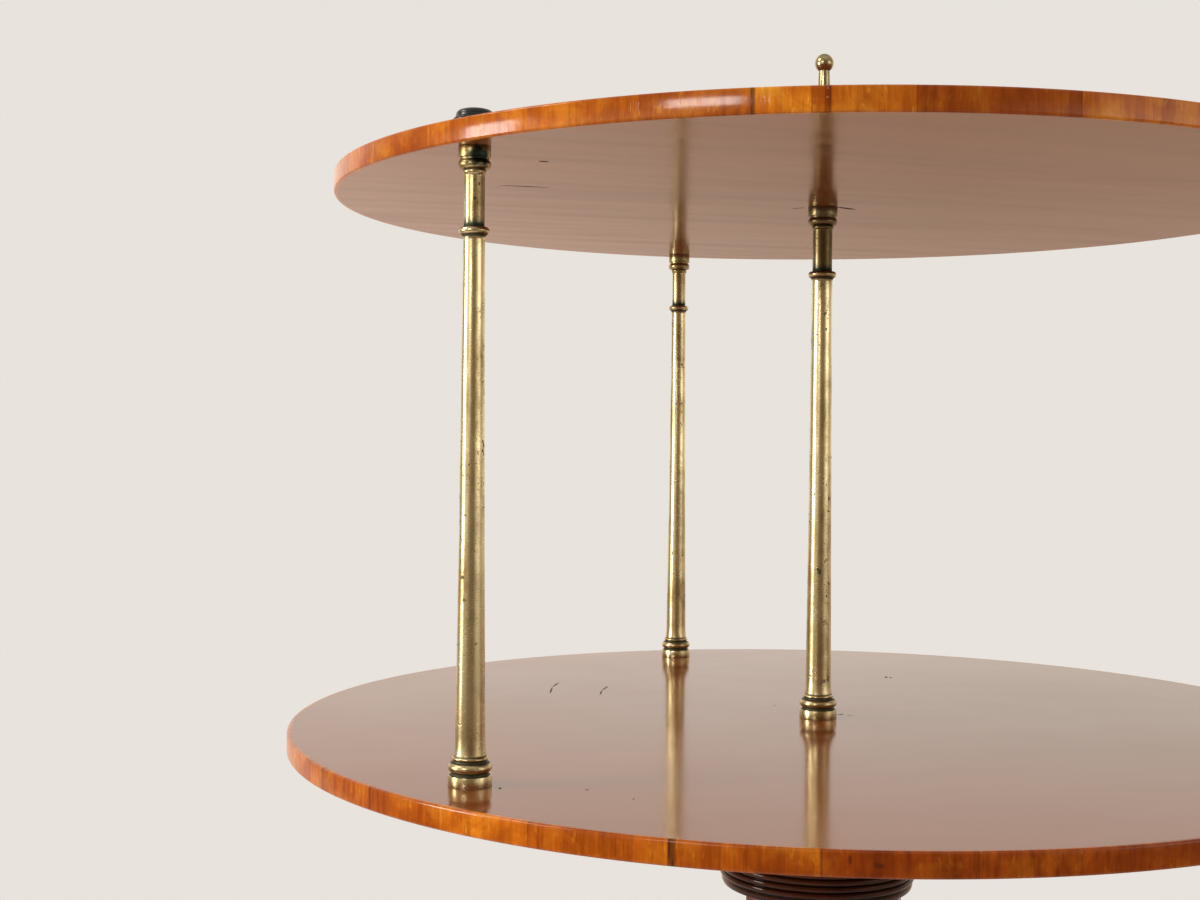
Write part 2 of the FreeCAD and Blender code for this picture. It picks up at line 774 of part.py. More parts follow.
# pedestal, legs and plate
def make_pedestal():
    """Triform block: three canted corners that carry the legs, hollow sides between them."""
    body = new_body("pedestal")
    section = new_sketch(body, "section")
    outline = []
    for index in range(STATIONS):
        angle = station_angle(index)
        x, y = polar(mm.corner_distance, angle)
        across_x, across_y = polar(mm.corner_half_width, angle + FULL_TURN / 4)
        outline.append((x - across_x, y - across_y, mm.hollow_side_radius, "right"))
        outline.append((x + across_x, y + across_y))
    draw_outline(section, outline)
    pad(body, "block", section, mm.pedestal_height)

    seat = new_sketch(body, "spindle_bore", offset=mm.pedestal_height - mm.spindle_grip)
    draw_circle(seat, (0, 0), mm.spindle_radius + mm.running_clearance)
    pocket(body, "spindle_hole", seat, mm.spindle_grip)

    socket = new_sketch(body, "dovetail_socket")
    root = mm.corner_distance - mm.dovetail_depth - mm.joint_clearance
    neck_half = mm.dovetail_neck_half_width + mm.joint_clearance
    root_half = mm.dovetail_root_half_width + mm.joint_clearance
    draw_outline(socket, [
        (neck_half, mm.corner_distance),
        (-neck_half, mm.corner_distance),
        (-root_half, root),
        (root_half, root),
    ])
    slot = pocket(body, "socket", socket, mm.dovetail_height + mm.joint_clearance)
    screw = new_sketch(body, "plate_screw_pilot")
    draw_circle(screw, (0, mm.plate_first_screw), mm.screw_shank_radius)
    pilot = pocket(body, "plate_screw_hole", screw, mm.screw_bite)
    repeat(body, "sockets", [slot, pilot], STATIONS)
    place(body, (0, 0, mm.pedestal_foot_height))


def toe_point(along, up):
    """A point of the leg's toe: along its run back from the end, and up from its middle line."""
    run_x, run_z = math.cos(math.radians(TOE_ANGLE)), math.sin(math.radians(TOE_ANGLE))
    x = mm.toe_reach - along * run_x + up * run_z
    z = mm.toe_height + along * run_z + up * run_x
    return x, z


leg_foot = mm.pedestal_foot_height
leg_sole_end = mm.corner_distance + mm.leg_sole_length


def is_long_leg_edge(edge, middle):
    """One of the four edges that run the length of a leg, from its root down to its toe."""
    beside = abs(middle.y) > mm.toe_half_width.number - mm.joint_clearance.number
    beyond_root = middle.x > leg_sole_end.number
    along = edge.Length > mm.toe_half_depth.number * LONG_EDGE_SHARE
    return beside and beyond_root and along


def make_legs():
    """Downswept legs: a side outline cut from a board, thinned towards the toe, with a dovetail."""
    for index in range(STATIONS):
        body = new_body(f"leg_{index + 1}")
        side = new_sketch(body, "side", "XZ_Plane")
        toe = mm.toe_half_depth
        draw_outline(side, [
            (mm.corner_distance, leg_foot + mm.leg_root_height),
            (mm.corner_distance, leg_foot),
            (leg_sole_end, leg_foot),
            (*toe_point(mm.toe_length, -toe), mm.leg_under_sweep_radius, "left"),
            toe_point(as_size(0), -toe),
            toe_point(as_size(0), toe),
            toe_point(mm.toe_length, toe),
            (mm.corner_distance, leg_foot + mm.leg_root_height, mm.leg_top_sweep_radius, "right"),
        ][1:])
        pad(body, "board", side, mm.corner_half_width * 2, both_sides=True)

        waste = new_sketch(body, "plan_waste")
        toe_start = toe_point(mm.toe_length, -toe)[0]
        toe_end = toe_point(as_size(0), toe)[0] + mm.toe_half_width
        outside = mm.corner_half_width * 2
        for side_sign in (1, -1):
            rim = [
                (mm.corner_distance, mm.corner_half_width * side_sign),
                (toe_start, mm.toe_half_width * side_sign),
                (toe_end, mm.toe_half_width * side_sign),
                (toe_end, outside * side_sign),
                (mm.corner_distance, outside * side_sign),
            ]
            draw_outline(waste, rim if side_sign > 0 else rim[::-1])
        pocket(body, "plan_cut", waste, leg_foot + mm.leg_root_height)

        tail = new_sketch(body, "dovetail", offset=leg_foot)
        root = mm.corner_distance - mm.dovetail_depth
        draw_outline(tail, [
            (mm.corner_distance, mm.dovetail_neck_half_width),
            (root, mm.dovetail_root_half_width),
            (root, -mm.dovetail_root_half_width),
            (mm.corner_distance, -mm.dovetail_neck_half_width),
        ])
        pad(body, "dovetail_pad", tail, mm.dovetail_height)

        pilot = new_sketch(body, "plate_screw_pilot", offset=leg_foot)
        draw_circle(pilot, (mm.plate_first_screw + mm.plate_screw_spacing, 0), mm.screw_shank_radius)
        pocket(body, "plate_screw_hole", pilot, mm.screw_bite)
        pin = new_sketch(body, "toe_pin_bore", "XZ_Plane")
        draw_circle(pin, toe_point(mm.toe_pin_setback, as_size(0)), mm.toe_pin_radius)
        pocket(body, "toe_pin_hole", pin, mm.corner_half_width * 2, both_sides=True)
        round_edges(body, "edge_rounds", mm.leg_edge_round, is_long_leg_edge)
        place(body, rotation=about_z(station_angle(index)))


def make_tripod_plate():
    """Flat iron star under the pedestal, one arm under each leg's root."""
    body = new_body("tripod_plate")
    hub = new_sketch(body, "hub")
    draw_circle(hub, (0, 0), mm.plate_hub_radius)
    pad(body, "hub_pad", hub, mm.plate_thickness)
    arm = new_sketch(body, "arm")
    half = mm.plate_arm_half_width
    draw_outline(arm, [
        (-half, 0),
        (half, 0),
        (half, mm.plate_arm_reach),
        (-half, mm.plate_arm_reach),
    ])
    bar = pad(body, "arm_pad", arm, mm.plate_thickness)
    holes = new_sketch(body, "screw_holes")
    for row in range(PLATE_SCREW_ROWS):
        radius = mm.plate_first_screw + mm.plate_screw_spacing * row
        draw_circle(holes, (0, radius), mm.screw_shank_radius + mm.hole_clearance)
    drilled = pocket(body, "screw_hole", holes, mm.plate_thickness)
    repeat(body, "arms", [bar, drilled], STATIONS)
    place(body, (0, 0, mm.pedestal_foot_height - mm.plate_thickness))


# castors
def make_castor_caps():
    """Brass toe cap: a sleeve over the leg's toe, a rolled lip, and an upright horn with a bore."""
    inner_half = mm.toe_half_depth + mm.joint_clearance
    outer_half = inner_half + mm.toe_cap_wall
    lip_half = outer_half + mm.toe_cap_lip_stand_out
    inner_width = (mm.toe_half_width + mm.joint_clearance) * 2
    outer_width = inner_width + mm.toe_cap_wall * 2
    lip_width = outer_width + mm.toe_cap_lip_stand_out * 2
    lip_start = mm.toe_cap_length - mm.toe_cap_lip_length
    end = -mm.toe_cap_end_wall - mm.joint_clearance
    horn_foot = mm.fork_crown_floor + mm.fork_crown_height + mm.swivel_gap
    for index in range(STATIONS):
        body = new_body(f"castor_cap_{index + 1}")
        sleeve = new_sketch(body, "sleeve", "XZ_Plane")
        draw_outline(sleeve, [
            toe_point(mm.toe_cap_length, -outer_half),
            toe_point(end, -outer_half),
            toe_point(end, outer_half),
            toe_point(mm.toe_cap_length, outer_half),
        ])
        pad(body, "sleeve_pad", sleeve, outer_width, both_sides=True)
        lip = new_sketch(body, "lip", "XZ_Plane")
        draw_outline(lip, [
            toe_point(mm.toe_cap_length, -lip_half),
            toe_point(lip_start, -lip_half),
            toe_point(lip_start, lip_half),
            toe_point(mm.toe_cap_length, lip_half),
        ])
        pad(body, "lip_pad", lip, lip_width, both_sides=True)
        shoulder = horn_foot + mm.horn_height - mm.horn_dome_height
        dome = (mm.horn_radius * mm.horn_radius + mm.horn_dome_height * mm.horn_dome_height) \
            / (mm.horn_dome_height * 2)
        revolve(body, "horn", [
            (swivel_radius, horn_foot),
            (swivel_radius + mm.horn_radius, horn_foot),
            (swivel_radius + mm.horn_radius, shoulder),
            (swivel_radius, horn_foot + mm.horn_height, dome, "left"),
        ], axis_x=swivel_radius)
        toe = new_sketch(body, "toe_space", "XZ_Plane")
        over = mm.toe_cap_length + mm.toe_cap_wall
        draw_outline(toe, [
            toe_point(over, -inner_half),
            toe_point(-mm.joint_clearance, -inner_half),
            toe_point(-mm.joint_clearance, inner_half),
            toe_point(over, inner_half),
        ])
        pocket(body, "toe_pocket", toe, inner_width, both_sides=True)
        bore = new_sketch(body, "pin_bore", offset=horn_foot)
        draw_circle(bore, (swivel_radius, 0), mm.swivel_pin_radius + mm.running_clearance)
        pocket(body, "pin_hole", bore, mm.swivel_bore_depth)
        pin = new_sketch(body, "toe_pin_bore", "XZ_Plane")
        draw_circle(pin, toe_point(mm.toe_pin_setback, as_size(0)), mm.toe_pin_radius)
        pocket(body, "toe_pin_hole", pin, lip_width, both_sides=True)
        place(body, rotation=about_z(station_angle(index)))


def make_toe_cap_pins():
    """Cross pins that hold the toe caps on, flush with their sides."""
    body = new_body("toe_cap_pins")
    width = (mm.toe_half_width + mm.joint_clearance + mm.toe_cap_wall) * 2
    circle = new_sketch(body, "circle", "XZ_Plane")
    draw_circle(circle, toe_point(mm.toe_pin_setback, as_size(0)), mm.toe_pin_radius)
    repeat(body, "set", [pad(body, "pin", circle, width, both_sides=True)], STATIONS)
    place(body, rotation=about_z(FIRST_STATION_ANGLE))


def make_castor_forks():
    """Swivelling fork: a round crown and pin over two cheeks that trail to the axle."""
    crown_top = mm.fork_crown_floor + mm.fork_crown_height
    axle_x = swivel_radius + mm.wheel_trail
    eye = mm.fork_eye_radius
    slot_half = mm.wheel_half_width + mm.wheel_side_gap
    back = swivel_radius - mm.fork_half_width * FORK_BACK_SHARE
    for index in range(STATIONS):
        body = new_body(f"castor_fork_{index + 1}")
        crown = new_sketch(body, "crown", offset=mm.fork_crown_floor)
        draw_circle(crown, (swivel_radius, 0), mm.fork_half_width)
        pad(body, "crown_pad", crown, mm.fork_crown_height)
        cheek = new_sketch(body, "cheek", "XZ_Plane")
        draw_outline(cheek, [
            (back, crown_top),
            (back, mm.fork_crown_floor),
            (axle_x - eye, mm.wheel_radius),
            (axle_x, mm.wheel_radius - eye, eye, "left"),
            (axle_x + eye, mm.wheel_radius, eye, "left"),
            (swivel_radius + mm.fork_half_width, mm.fork_crown_floor),
            (swivel_radius + mm.fork_half_width, crown_top),
        ])
        pad(body, "cheek_pad", cheek, mm.fork_half_width * 2, both_sides=True)
        slot = new_sketch(body, "wheel_slot", "XZ_Plane")
        draw_outline(slot, [
            (swivel_radius - mm.wheel_radius * 2, 0),
            (axle_x + mm.wheel_radius * 2, 0),
            (axle_x + mm.wheel_radius * 2, mm.fork_crown_floor),
            (swivel_radius - mm.wheel_radius * 2, mm.fork_crown_floor),
        ])
        pocket(body, "wheel_space", slot, slot_half * 2, both_sides=True)
        rivet = new_sketch(body, "axle_bore", "XZ_Plane")
        draw_circle(rivet, (axle_x, mm.wheel_radius), mm.axle_radius)
        pocket(body, "axle_hole", rivet, mm.fork_half_width * 2, both_sides=True)
        pin = new_sketch(body, "pin", offset=crown_top)
        draw_circle(pin, (swivel_radius, 0), mm.swivel_pin_radius)
        pad(body, "pin_pad", pin, mm.swivel_pin_length + mm.swivel_gap)
        place(body, rotation=about_z(station_angle(index)))


def castor_axle_placement(index):
    """Where a castor's axle lies, and the turn that lays an upright turning along it."""
    x, y = polar(swivel_radius + mm.wheel_trail, station_angle(index))
    lay_down = FreeCAD.Rotation(FreeCAD.Vector(1, 0, 0), FULL_TURN / 4)
    return (x, y, mm.wheel_radius), about_z(station_angle(index)).multiply(lay_down)


def make_castor_axles():
    """Rivets with a head outside each cheek."""
    half = mm.fork_half_width
    outer = half + mm.axle_head_height
    for index in range(STATIONS):
        body = new_body(f"castor_axle_{index + 1}")
        revolve(body, "rivet", [
            (0, -outer),
            (mm.axle_head_radius, -outer),
            (mm.axle_head_radius, -half),
            (mm.axle_radius, -half),
            (mm.axle_radius, half),
            (mm.axle_head_radius, half),
            (mm.axle_head_radius, outer),
            (0, outer),
        ])
        base, rotation = castor_axle_placement(index)
        place(body, base, rotation)


def make_castor_wheels():
    """Wheels with a rounded tread, dished sides and a hub."""
    bore = mm.axle_radius + mm.running_clearance
    half = mm.wheel_half_width
    web = half - mm.wheel_dish_depth
    rim = mm.wheel_radius - mm.wheel_rim_width
    flank = mm.wheel_radius - mm.wheel_dish_depth
    tread = half * TREAD_SHARE
    for index in range(STATIONS):
        body = new_body(f"castor_wheel_{index + 1}")
        revolve(body, "turning", [
            (bore, -half),
            (mm.wheel_hub_radius, -half),
            (mm.wheel_hub_radius, -web),
            (rim, -web),
            (rim, -half),
            (flank, -half),
            (mm.wheel_radius, -tread, mm.wheel_rim_width, "left"),
            (mm.wheel_radius, tread),
            (flank, half, mm.wheel_rim_width, "left"),
            (rim, half),
            (rim, web),
            (mm.wheel_hub_radius, web),
            (mm.wheel_hub_radius, half),
            (bore, half),
        ])
        base, rotation = castor_axle_placement(index)
        place(body, base, rotation)


make_tier("lower_tier", lower_tier_foot, lower_tier_radius,
          mm.centre_base_collar_radius, mm.outer_base_collar_radius, screws=True)
make_edge_band("lower_edge_band", lower_tier_foot, lower_tier_radius)
make_tier("upper_tier", upper_tier_foot, mm.upper_tier_radius,
          mm.finial_base_radius, mm.cap_flange_radius, screws=False)
make_edge_band("upper_edge_band", upper_tier_foot, mm.upper_tier_radius)
make_outer_columns()
make_centre_column()
make_column_caps()
make_column_fixings()
make_centre_nut()
make_finial()
make_stage_boss()
make_boss_bush()
make_screws("boss_screws", mm.boss_screw_pitch_radius, BOSS_SCREW_COUNT, boss_screw_length,
            boss_foot + mm.boss_height - mm.boss_flange_height)
make_thrust_washer()
make_spindle()
make_reeded_capital()
make_pedestal()
make_legs()
make_tripod_plate()
make_screws("plate_screws", mm.plate_first_screw, STATIONS,
            mm.screw_head_height + mm.plate_thickness + mm.screw_bite,
            mm.pedestal_foot_height - mm.plate_thickness - mm.screw_head_height,
            turn=FIRST_STATION_ANGLE, rows=PLATE_SCREW_ROWS, spacing=mm.plate_screw_spacing)
make_castor_caps()
make_toe_cap_pins()
make_castor_forks()
make_castor_axles()
make_castor_wheels()

document.recompute()
failed = [item.Label for item in document.Objects if {"Invalid", "Error"} & set(item.State)]
failed += [body.Label for body in subparts if body.Shape.isNull() or not body.Shape.isValid()]
if failed:
    raise RuntimeError(f"these did not build: {failed}")

os.makedirs("parts", exist_ok=True)
for body in subparts:
    body.Shape.exportStep(os.path.join("parts", f"{body.Label}.step"))
    box = body.Shape.BoundBox
    print(f"{body.Label}: {len(body.Shape.Solids)} solid(s), {body.Shape.Volume:.0f} mm3,"
          f" z {box.ZMin:.1f} to {box.ZMax:.1f}, reach {max(box.XMax, box.YMax):.1f}")
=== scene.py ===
# %% [markdown]
# # A dumbwaiter serving stand
#
# Two round polished tiers on turned brass columns turn on a three-legged stand with castors.
# The measured frame comes from the CAD model: every node is already in its place, in metres.
# This lesson dresses it. Pieces whose CAD mesh is fine get a material, and the pieces that the
# eye rests on are modelled again with round, softened edges and stand in for their nodes.

# %% Load the frame
import math

import bpy
from mathutils import Matrix, Vector


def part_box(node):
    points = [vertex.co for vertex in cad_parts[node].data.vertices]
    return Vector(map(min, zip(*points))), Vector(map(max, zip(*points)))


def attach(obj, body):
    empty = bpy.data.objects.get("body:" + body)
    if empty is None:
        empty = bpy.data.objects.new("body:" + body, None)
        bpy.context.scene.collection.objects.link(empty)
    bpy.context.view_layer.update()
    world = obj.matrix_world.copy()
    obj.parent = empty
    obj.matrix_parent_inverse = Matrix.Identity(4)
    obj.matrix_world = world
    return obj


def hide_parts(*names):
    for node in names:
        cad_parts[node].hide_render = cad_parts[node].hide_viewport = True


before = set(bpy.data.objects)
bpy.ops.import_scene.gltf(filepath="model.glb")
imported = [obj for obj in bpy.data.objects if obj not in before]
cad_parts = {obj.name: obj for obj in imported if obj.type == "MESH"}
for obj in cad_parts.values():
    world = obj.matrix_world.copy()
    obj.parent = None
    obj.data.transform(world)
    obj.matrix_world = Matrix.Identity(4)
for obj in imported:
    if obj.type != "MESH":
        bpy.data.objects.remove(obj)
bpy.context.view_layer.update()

# %% [markdown]
# ## The sizes that pieces share
#
# Heights and centres are read from the nodes' boxes, so the pieces land where the CAD put them.
# Only the turned outlines are written out, in millimetres, as a turner would note them.

# %% Read the places of the tiers and columns
MM = 0.001
LOWER_FOOT, LOWER_TOP = (corner.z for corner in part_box("lower_tier"))
UPPER_FOOT, UPPER_TOP = (corner.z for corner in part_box("upper_tier"))
STATIONS = (1, 2, 3)


def middle_of(node):
    """Where a node's upright axis stands."""
    low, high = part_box(node)
    return (low.x + high.x) / 2, (low.y + high.y) / 2


def reach_of(node):
    """How far a round node reaches from its axis."""
    low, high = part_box(node)
    return (high.x - low.x) / 2


def place_at(degrees, reach):
    """The plan place in a direction, this far from the stand's axis."""
    angle = math.radians(degrees)
    return reach * math.cos(angle), reach * math.sin(angle)


COLUMN_PLACES = [middle_of(f"column_cap_{station}") for station in STATIONS]
print("tier tops", round(LOWER_TOP, 4), round(UPPER_TOP, 4), "columns at", COLUMN_PLACES)

# %% [markdown]
# ## The camera
#
# The photograph looks at the stand from just above its lower tier and just below its upper
# one. Its place and lens were found by fitting the two rims and the columns' ends.

# %% Set the camera
CAMERA_YAW = math.radians(-15.394)
CAMERA_PITCH = -0.00949
CAMERA_ROLL = 0.00851
bpy.ops.object.camera_add(location=(-0.37551, -0.8789, 0.76614))
camera = bpy.context.active_object
camera.name = "photo_camera"
camera.data.sensor_width = 36
camera.data.lens = 48.664
turn = Matrix.Rotation(CAMERA_YAW, 4, "Z")
turn = turn @ Matrix.Rotation(math.pi / 2 + CAMERA_PITCH, 4, "X")
turn = turn @ Matrix.Rotation(CAMERA_ROLL, 4, "Z")
camera.rotation_euler = turn.to_euler()
bpy.context.scene.camera = camera
bpy.context.scene.view_settings.view_transform = "Standard"
print("lens", camera.data.lens, "at", tuple(round(value, 3) for value in camera.location))

# %% [markdown]
# ## Short ways to build node trees
#
# Every finish below is a tree of shader nodes. These helpers work on the tree that was opened
# last: they add a node to it, feed its inputs with a number, a colour or another node's
# output, and hand back what it puts out. An effect that several finishes share becomes a node
# group, made once and used with different values.


# %% Helpers for shader nodes
def feed(shader, values):
    """Fills a node's inputs with numbers and colours, or links them to what other nodes put out."""
    for key, value in values.items():
        if isinstance(value, bpy.types.NodeSocket):
            tree.links.new(value, shader.inputs[key])
        else:
            shader.inputs[key].default_value = value


def node(kind, values, **settings):
    """Adds a shader node, sets its options, feeds it, and hands back its outputs."""
    made = tree.nodes.new(f"ShaderNode{kind}")
    for name, value in settings.items():
        setattr(made, name, value)
    feed(made, values)
    return made.outputs


def maths(operation, first, second=0.0, clamp=False):
    """One sum on numbers that vary over the surface."""
    return node("Math", {0: first, 1: second}, operation=operation, use_clamp=clamp)[0]


def times(first, second):
    return maths("MULTIPLY", first, second)


def vector_maths(operation, first, second):
    return node("VectorMath", {0: first, 1: second}, operation=operation)[0]


def remap(value, low, high, to_low=0.0, to_high=1.0):
    """Stretches a range of values to another, and holds it there beyond its ends."""
    values = {"Value": value, "From Min": low, "From Max": high, "To Min": to_low, "To Max": to_high}
    return node("MapRange", values)[0]


def mix(factor, first, second, blend="MIX"):
    """Mixes two colours. Inputs 6 and 7 are the colour sockets of the Mix node."""
    values = {0: factor, 6: first, 7: second}
    return node("Mix", values, data_type="RGBA", blend_type=blend)[2]


def length_of(vector):
    return node("VectorMath", {0: vector}, operation="LENGTH")["Value"]


def scaled(vector, scale):
    return node("Mapping", {"Vector": vector, "Scale": scale})[0]


def noise(vector, scale, detail=2.0, rough=0.5, distortion=0.0):
    values = {"Vector": vector, "Scale": scale, "Detail": detail, "Roughness": rough, "Distortion": distortion}
    return node("TexNoise", values)[0]


def bump(height, strength, distance):
    values = {"Height": height, "Strength": strength, "Distance": distance}
    return node("Bump", values)[0]


def shader_group(name, inputs, outputs):
    """Opens a node group, and hands back what it is given, by socket name."""
    global tree
    tree = bpy.data.node_groups.new(name, "ShaderNodeTree")
    for label, value in inputs.items():
        kind = "NodeSocketFloat"
        if isinstance(value, tuple):
            kind = "NodeSocketColor" if len(value) == 4 else "NodeSocketVector"
        tree.interface.new_socket(label, in_out="INPUT", socket_type=kind).default_value = value
    for label, kind in outputs.items():
        tree.interface.new_socket(label, in_out="OUTPUT", socket_type=f"NodeSocket{kind}")
    return tree.nodes.new("NodeGroupInput").outputs


def close_group(results):
    """Sends the results out of a group."""
    feed(tree.nodes.new("NodeGroupOutput"), results)
    print("group", tree.name, len(tree.nodes), "nodes")
    return tree


def use(group, values):
    """Places a group in the open tree, and hands back its outputs."""
    return node("Group", values, node_tree=group)


def new_material(name):
    """Opens a material with one Principled shader. Hands back the material, the shader and the
    place of each point in the object's own coordinates."""
    global tree
    material = bpy.data.materials.new(name)
    material.use_nodes = True
    tree = material.node_tree
    print("material", name)
    return material, tree.nodes["Principled BSDF"], node("TexCoord", {})["Object"]


def groove_depth():
    """How deep in a groove a point lies, as the meshes below mark it. 0 where nothing is marked."""
    return node("Attribute", {}, attribute_name="groove")["Fac"]


# %% [markdown]
# ## Light
#
# The photograph was lit by soft light from the left, against a pale wall, in a room that is
# dim and warm behind the camera. A low window on the left is what the columns and the rim
# mirror, and a high one adds the rest of its light. The wall is what the polished tiers
# mirror, so the world does its work here: pale beyond the stand, dim on the camera's side. The
# camera itself sees an even pale wall everywhere.

# %% Build the world
WALL = (0.806, 0.768, 0.722, 1)
WALL_LIT = (0.90, 0.87, 0.82, 1)
WALL_SHADED = (0.78, 0.75, 0.68, 1)
SIDES = (1.22, 1.16, 1.05, 1)
ROOM = (0.24, 0.19, 0.125, 1)
UPPER_ROOM = (0.3, 0.25, 0.19, 1)
DIM_GAP = (0.32, 0.28, 0.22, 1)
CEILING = (0.66, 0.625, 0.58, 1)
LOW_DOWN = (0.2, 0.15, 0.11, 1)
LOW_WALL = (0.93, 0.685, 0.535, 1)
LOW_SHADE = (0.585, 0.40, 0.285, 1)
NEAR_HORIZON_TINT = (1.165, 1.12, 1.055, 1)
UPPER_WALL_TINT = (1.15, 0.985, 0.88, 1)
FAR_SIDE = (0.266, 0.964, 0)
DIM_CORNER = (-0.259, -0.966, 0)
SHADED_CORNER = (0.69, 0.69, -0.21)
LEFT_GAP = (-0.766, 0.643, 0)
RIGHT_GAP = (0.996, -0.087, 0)
# Each part of the room gives way to the next over a range. A height is the Z of the direction
# looked in, and a turn is the cosine between that direction and the one of the same name.
UPPER_ROOM_HEIGHT, LOW_DOWN_HEIGHT = (0.06, 0.22), (-0.02, -0.13)
WALL_TINT_HEIGHT, HORIZON_HEIGHT = (0.17, 0.26), (0.0, -0.1)
FLOOR_HEIGHT, CEILING_HEIGHT = (-0.35, -0.7), (0.4, 0.9)
FAR_SIDE_TURN, DIM_CORNER_TURN = (0.1, 0.6), (0.72, 0.93)
LOW_SHADE_TURN, WALL_SHADE_TURN = (0.78, 0.95), (0.84, 1.0)
LEFT_GAP_TURN, RIGHT_GAP_TURN = (0.93, 0.985), (0.9, 0.99, 0.0, 0.6)
world = bpy.data.worlds.new("pale_room")
bpy.context.scene.world = world
world.use_nodes = True
tree = world.node_tree
way = node("TexCoord", {})["Generated"]


def towards(direction, turn):
    """Grows from 0 to 1 as the view turns to a direction, over the cosines given."""
    cosine = node("VectorMath", {0: way, 1: direction}, operation="DOT_PRODUCT")["Value"]
    return remap(cosine, *turn)


height = node("SeparateXYZ", {0: way})["Z"]
front = mix(remap(height, *UPPER_ROOM_HEIGHT), SIDES, UPPER_ROOM)
front = mix(towards(DIM_CORNER, DIM_CORNER_TURN), front, ROOM)
front = mix(remap(height, *LOW_DOWN_HEIGHT), front, LOW_DOWN)
low_wall = mix(towards(SHADED_CORNER, LOW_SHADE_TURN), LOW_WALL, LOW_SHADE)
wall = mix(towards(SHADED_CORNER, WALL_SHADE_TURN), WALL_LIT, WALL_SHADED)
# The wall is warmer up high than near the horizon, so the near part of a polished top, which
# mirrors it from further up, takes a pinker tone.
tint = mix(remap(height, *WALL_TINT_HEIGHT), NEAR_HORIZON_TINT, UPPER_WALL_TINT)
wall = mix(1.0, wall, tint, "MULTIPLY")
back = mix(remap(height, *HORIZON_HEIGHT), wall, low_wall)
back = mix(remap(height, *FLOOR_HEIGHT), back, LOW_DOWN)
colour = mix(towards(FAR_SIDE, FAR_SIDE_TURN), front, back)
colour = mix(towards(LEFT_GAP, LEFT_GAP_TURN), colour, DIM_GAP)
colour = mix(towards(RIGHT_GAP, RIGHT_GAP_TURN), colour, DIM_GAP)
colour = mix(remap(height, *CEILING_HEIGHT), colour, CEILING)
eye = node("LightPath", {})["Is Camera Ray"]
feed(tree.nodes["Background"], {"Color": mix(eye, colour, WALL)})
print("world", len(tree.nodes), "nodes")


# %% Hang the soft lights
LIGHT_AIM = Vector((0, 0, 0.78))
DAYLIGHT, LAMPLIGHT = (1.0, 0.97, 0.92), (1.0, 0.96, 0.9)


def soft_light(name, azimuth, distance, height, size, power, colour):
    """A soft rectangular light at this side of the stand, turned to face the space between its tiers."""
    bpy.ops.object.light_add(type="AREA", location=(*place_at(azimuth, distance), height))
    light = bpy.context.active_object
    light.name = name
    light.data.shape = "RECTANGLE"
    light.data.size, light.data.size_y = size
    light.data.energy = power
    light.data.color = colour
    light.rotation_euler = (light.location - LIGHT_AIM).to_track_quat("Z", "Y").to_euler()
    print("light", name, power, "W")


soft_light("left_window", 177, 2.1, 0.888, (0.48, 0.776), 18.5, DAYLIGHT)
soft_light("high_window", 177, 1.8, 2.2, (0.8, 0.5), 14, DAYLIGHT)
soft_light("front_lamp", 224, 2.2, 1.322, (0.56, 0.24), 8.0, LAMPLIGHT)
soft_light("right_fill", 315, 2.3, 1.3, (1.2, 1.2), 4, LAMPLIGHT)

# %% [markdown]
# ## The floor
#
# The floor is a plain pale disc that fades into the backdrop before it ends, so no edge of it
# shows. It catches the castors' shadows when the stand is looked at from above.

# %% Lay the floor
FLOOR_RADIUS, FADE_START = 1.75, 1.0
bpy.ops.mesh.primitive_circle_add(vertices=128, radius=FLOOR_RADIUS, fill_type="NGON", location=(0, 0, 0))
floor = bpy.context.active_object
floor.name = "floor"
material, shader, place = new_material("pale_floor")
mottle = noise(place, 9.0, 3.0)
feed(shader, {
    "Base Color": mix(remap(mottle, 0.3, 0.7), (0.76, 0.725, 0.68, 1), (0.80, 0.765, 0.72, 1)),
    "Roughness": 0.7,
})
fade = remap(length_of(place), FADE_START, FLOOR_RADIUS - 0.02)
clear = node("BsdfTransparent", {})[0]
faded = node("MixShader", {0: fade, 1: shader.outputs[0], 2: clear})[0]
feed(tree.nodes["Material Output"], {"Surface": faded})
floor.data.materials.append(material)
print("floor", FLOOR_RADIUS, "m")

# %% [markdown]
# ## Grain, marks and tarnish
#
# Wood grain is stretched noise: broad bands, finer streaks, and short dark pores, all drawn
# out along X. Whoever uses the group turns the coordinates so that X runs up the plank.

# %% Wood grain group
given = shader_group(
    "wood grain",
    {"Vector": (0.0, 0.0, 0.0), "Light": (0.4, 0.15, 0.04, 1), "Dark": (0.15, 0.04, 0.01, 1),
     "Streaks": 0.5, "Pore Depth": 0.5},
    {"Color": "Color", "Height": "Float"},
)
broad = noise(scaled(given["Vector"], (5, 34, 34)), 1.0, 4.0, 0.55, 0.9)
streak = noise(scaled(given["Vector"], (16, 360, 360)), 1.0, 5.0, 0.62, 0.4)
pore = noise(scaled(given["Vector"], (90, 1500, 1500)), 1.0, 1.0, 0.5)
pores = times(remap(pore, 0.6, 0.7), given["Pore Depth"])
tone = node("Mix", {0: given["Streaks"], 2: remap(broad, 0.3, 0.7), 3: remap(streak, 0.3, 0.7)})[0]
colour = mix(tone, given["Dark"], given["Light"])
colour = mix(times(pores, 0.7), colour, given["Dark"])
height = maths("SUBTRACT", times(streak, 0.3), pores)
wood_grain = close_group({"Color": colour, "Height": height})


def wood(place, light, dark, streaks, pore_depth):
    """The grain at a place: its Color, and its Height for roughness and relief."""
    return use(wood_grain, {
        "Vector": place, "Light": light, "Dark": dark, "Streaks": streaks, "Pore Depth": pore_depth,
    })


# %% [markdown]
# A scratch is a thin line at a known place. The group measures how far a point lies from the
# line's middle, along it and across it, and puts out 1 on the scratch and 0 away from it. The
# same group makes a chip or a stain when its length and width are alike.

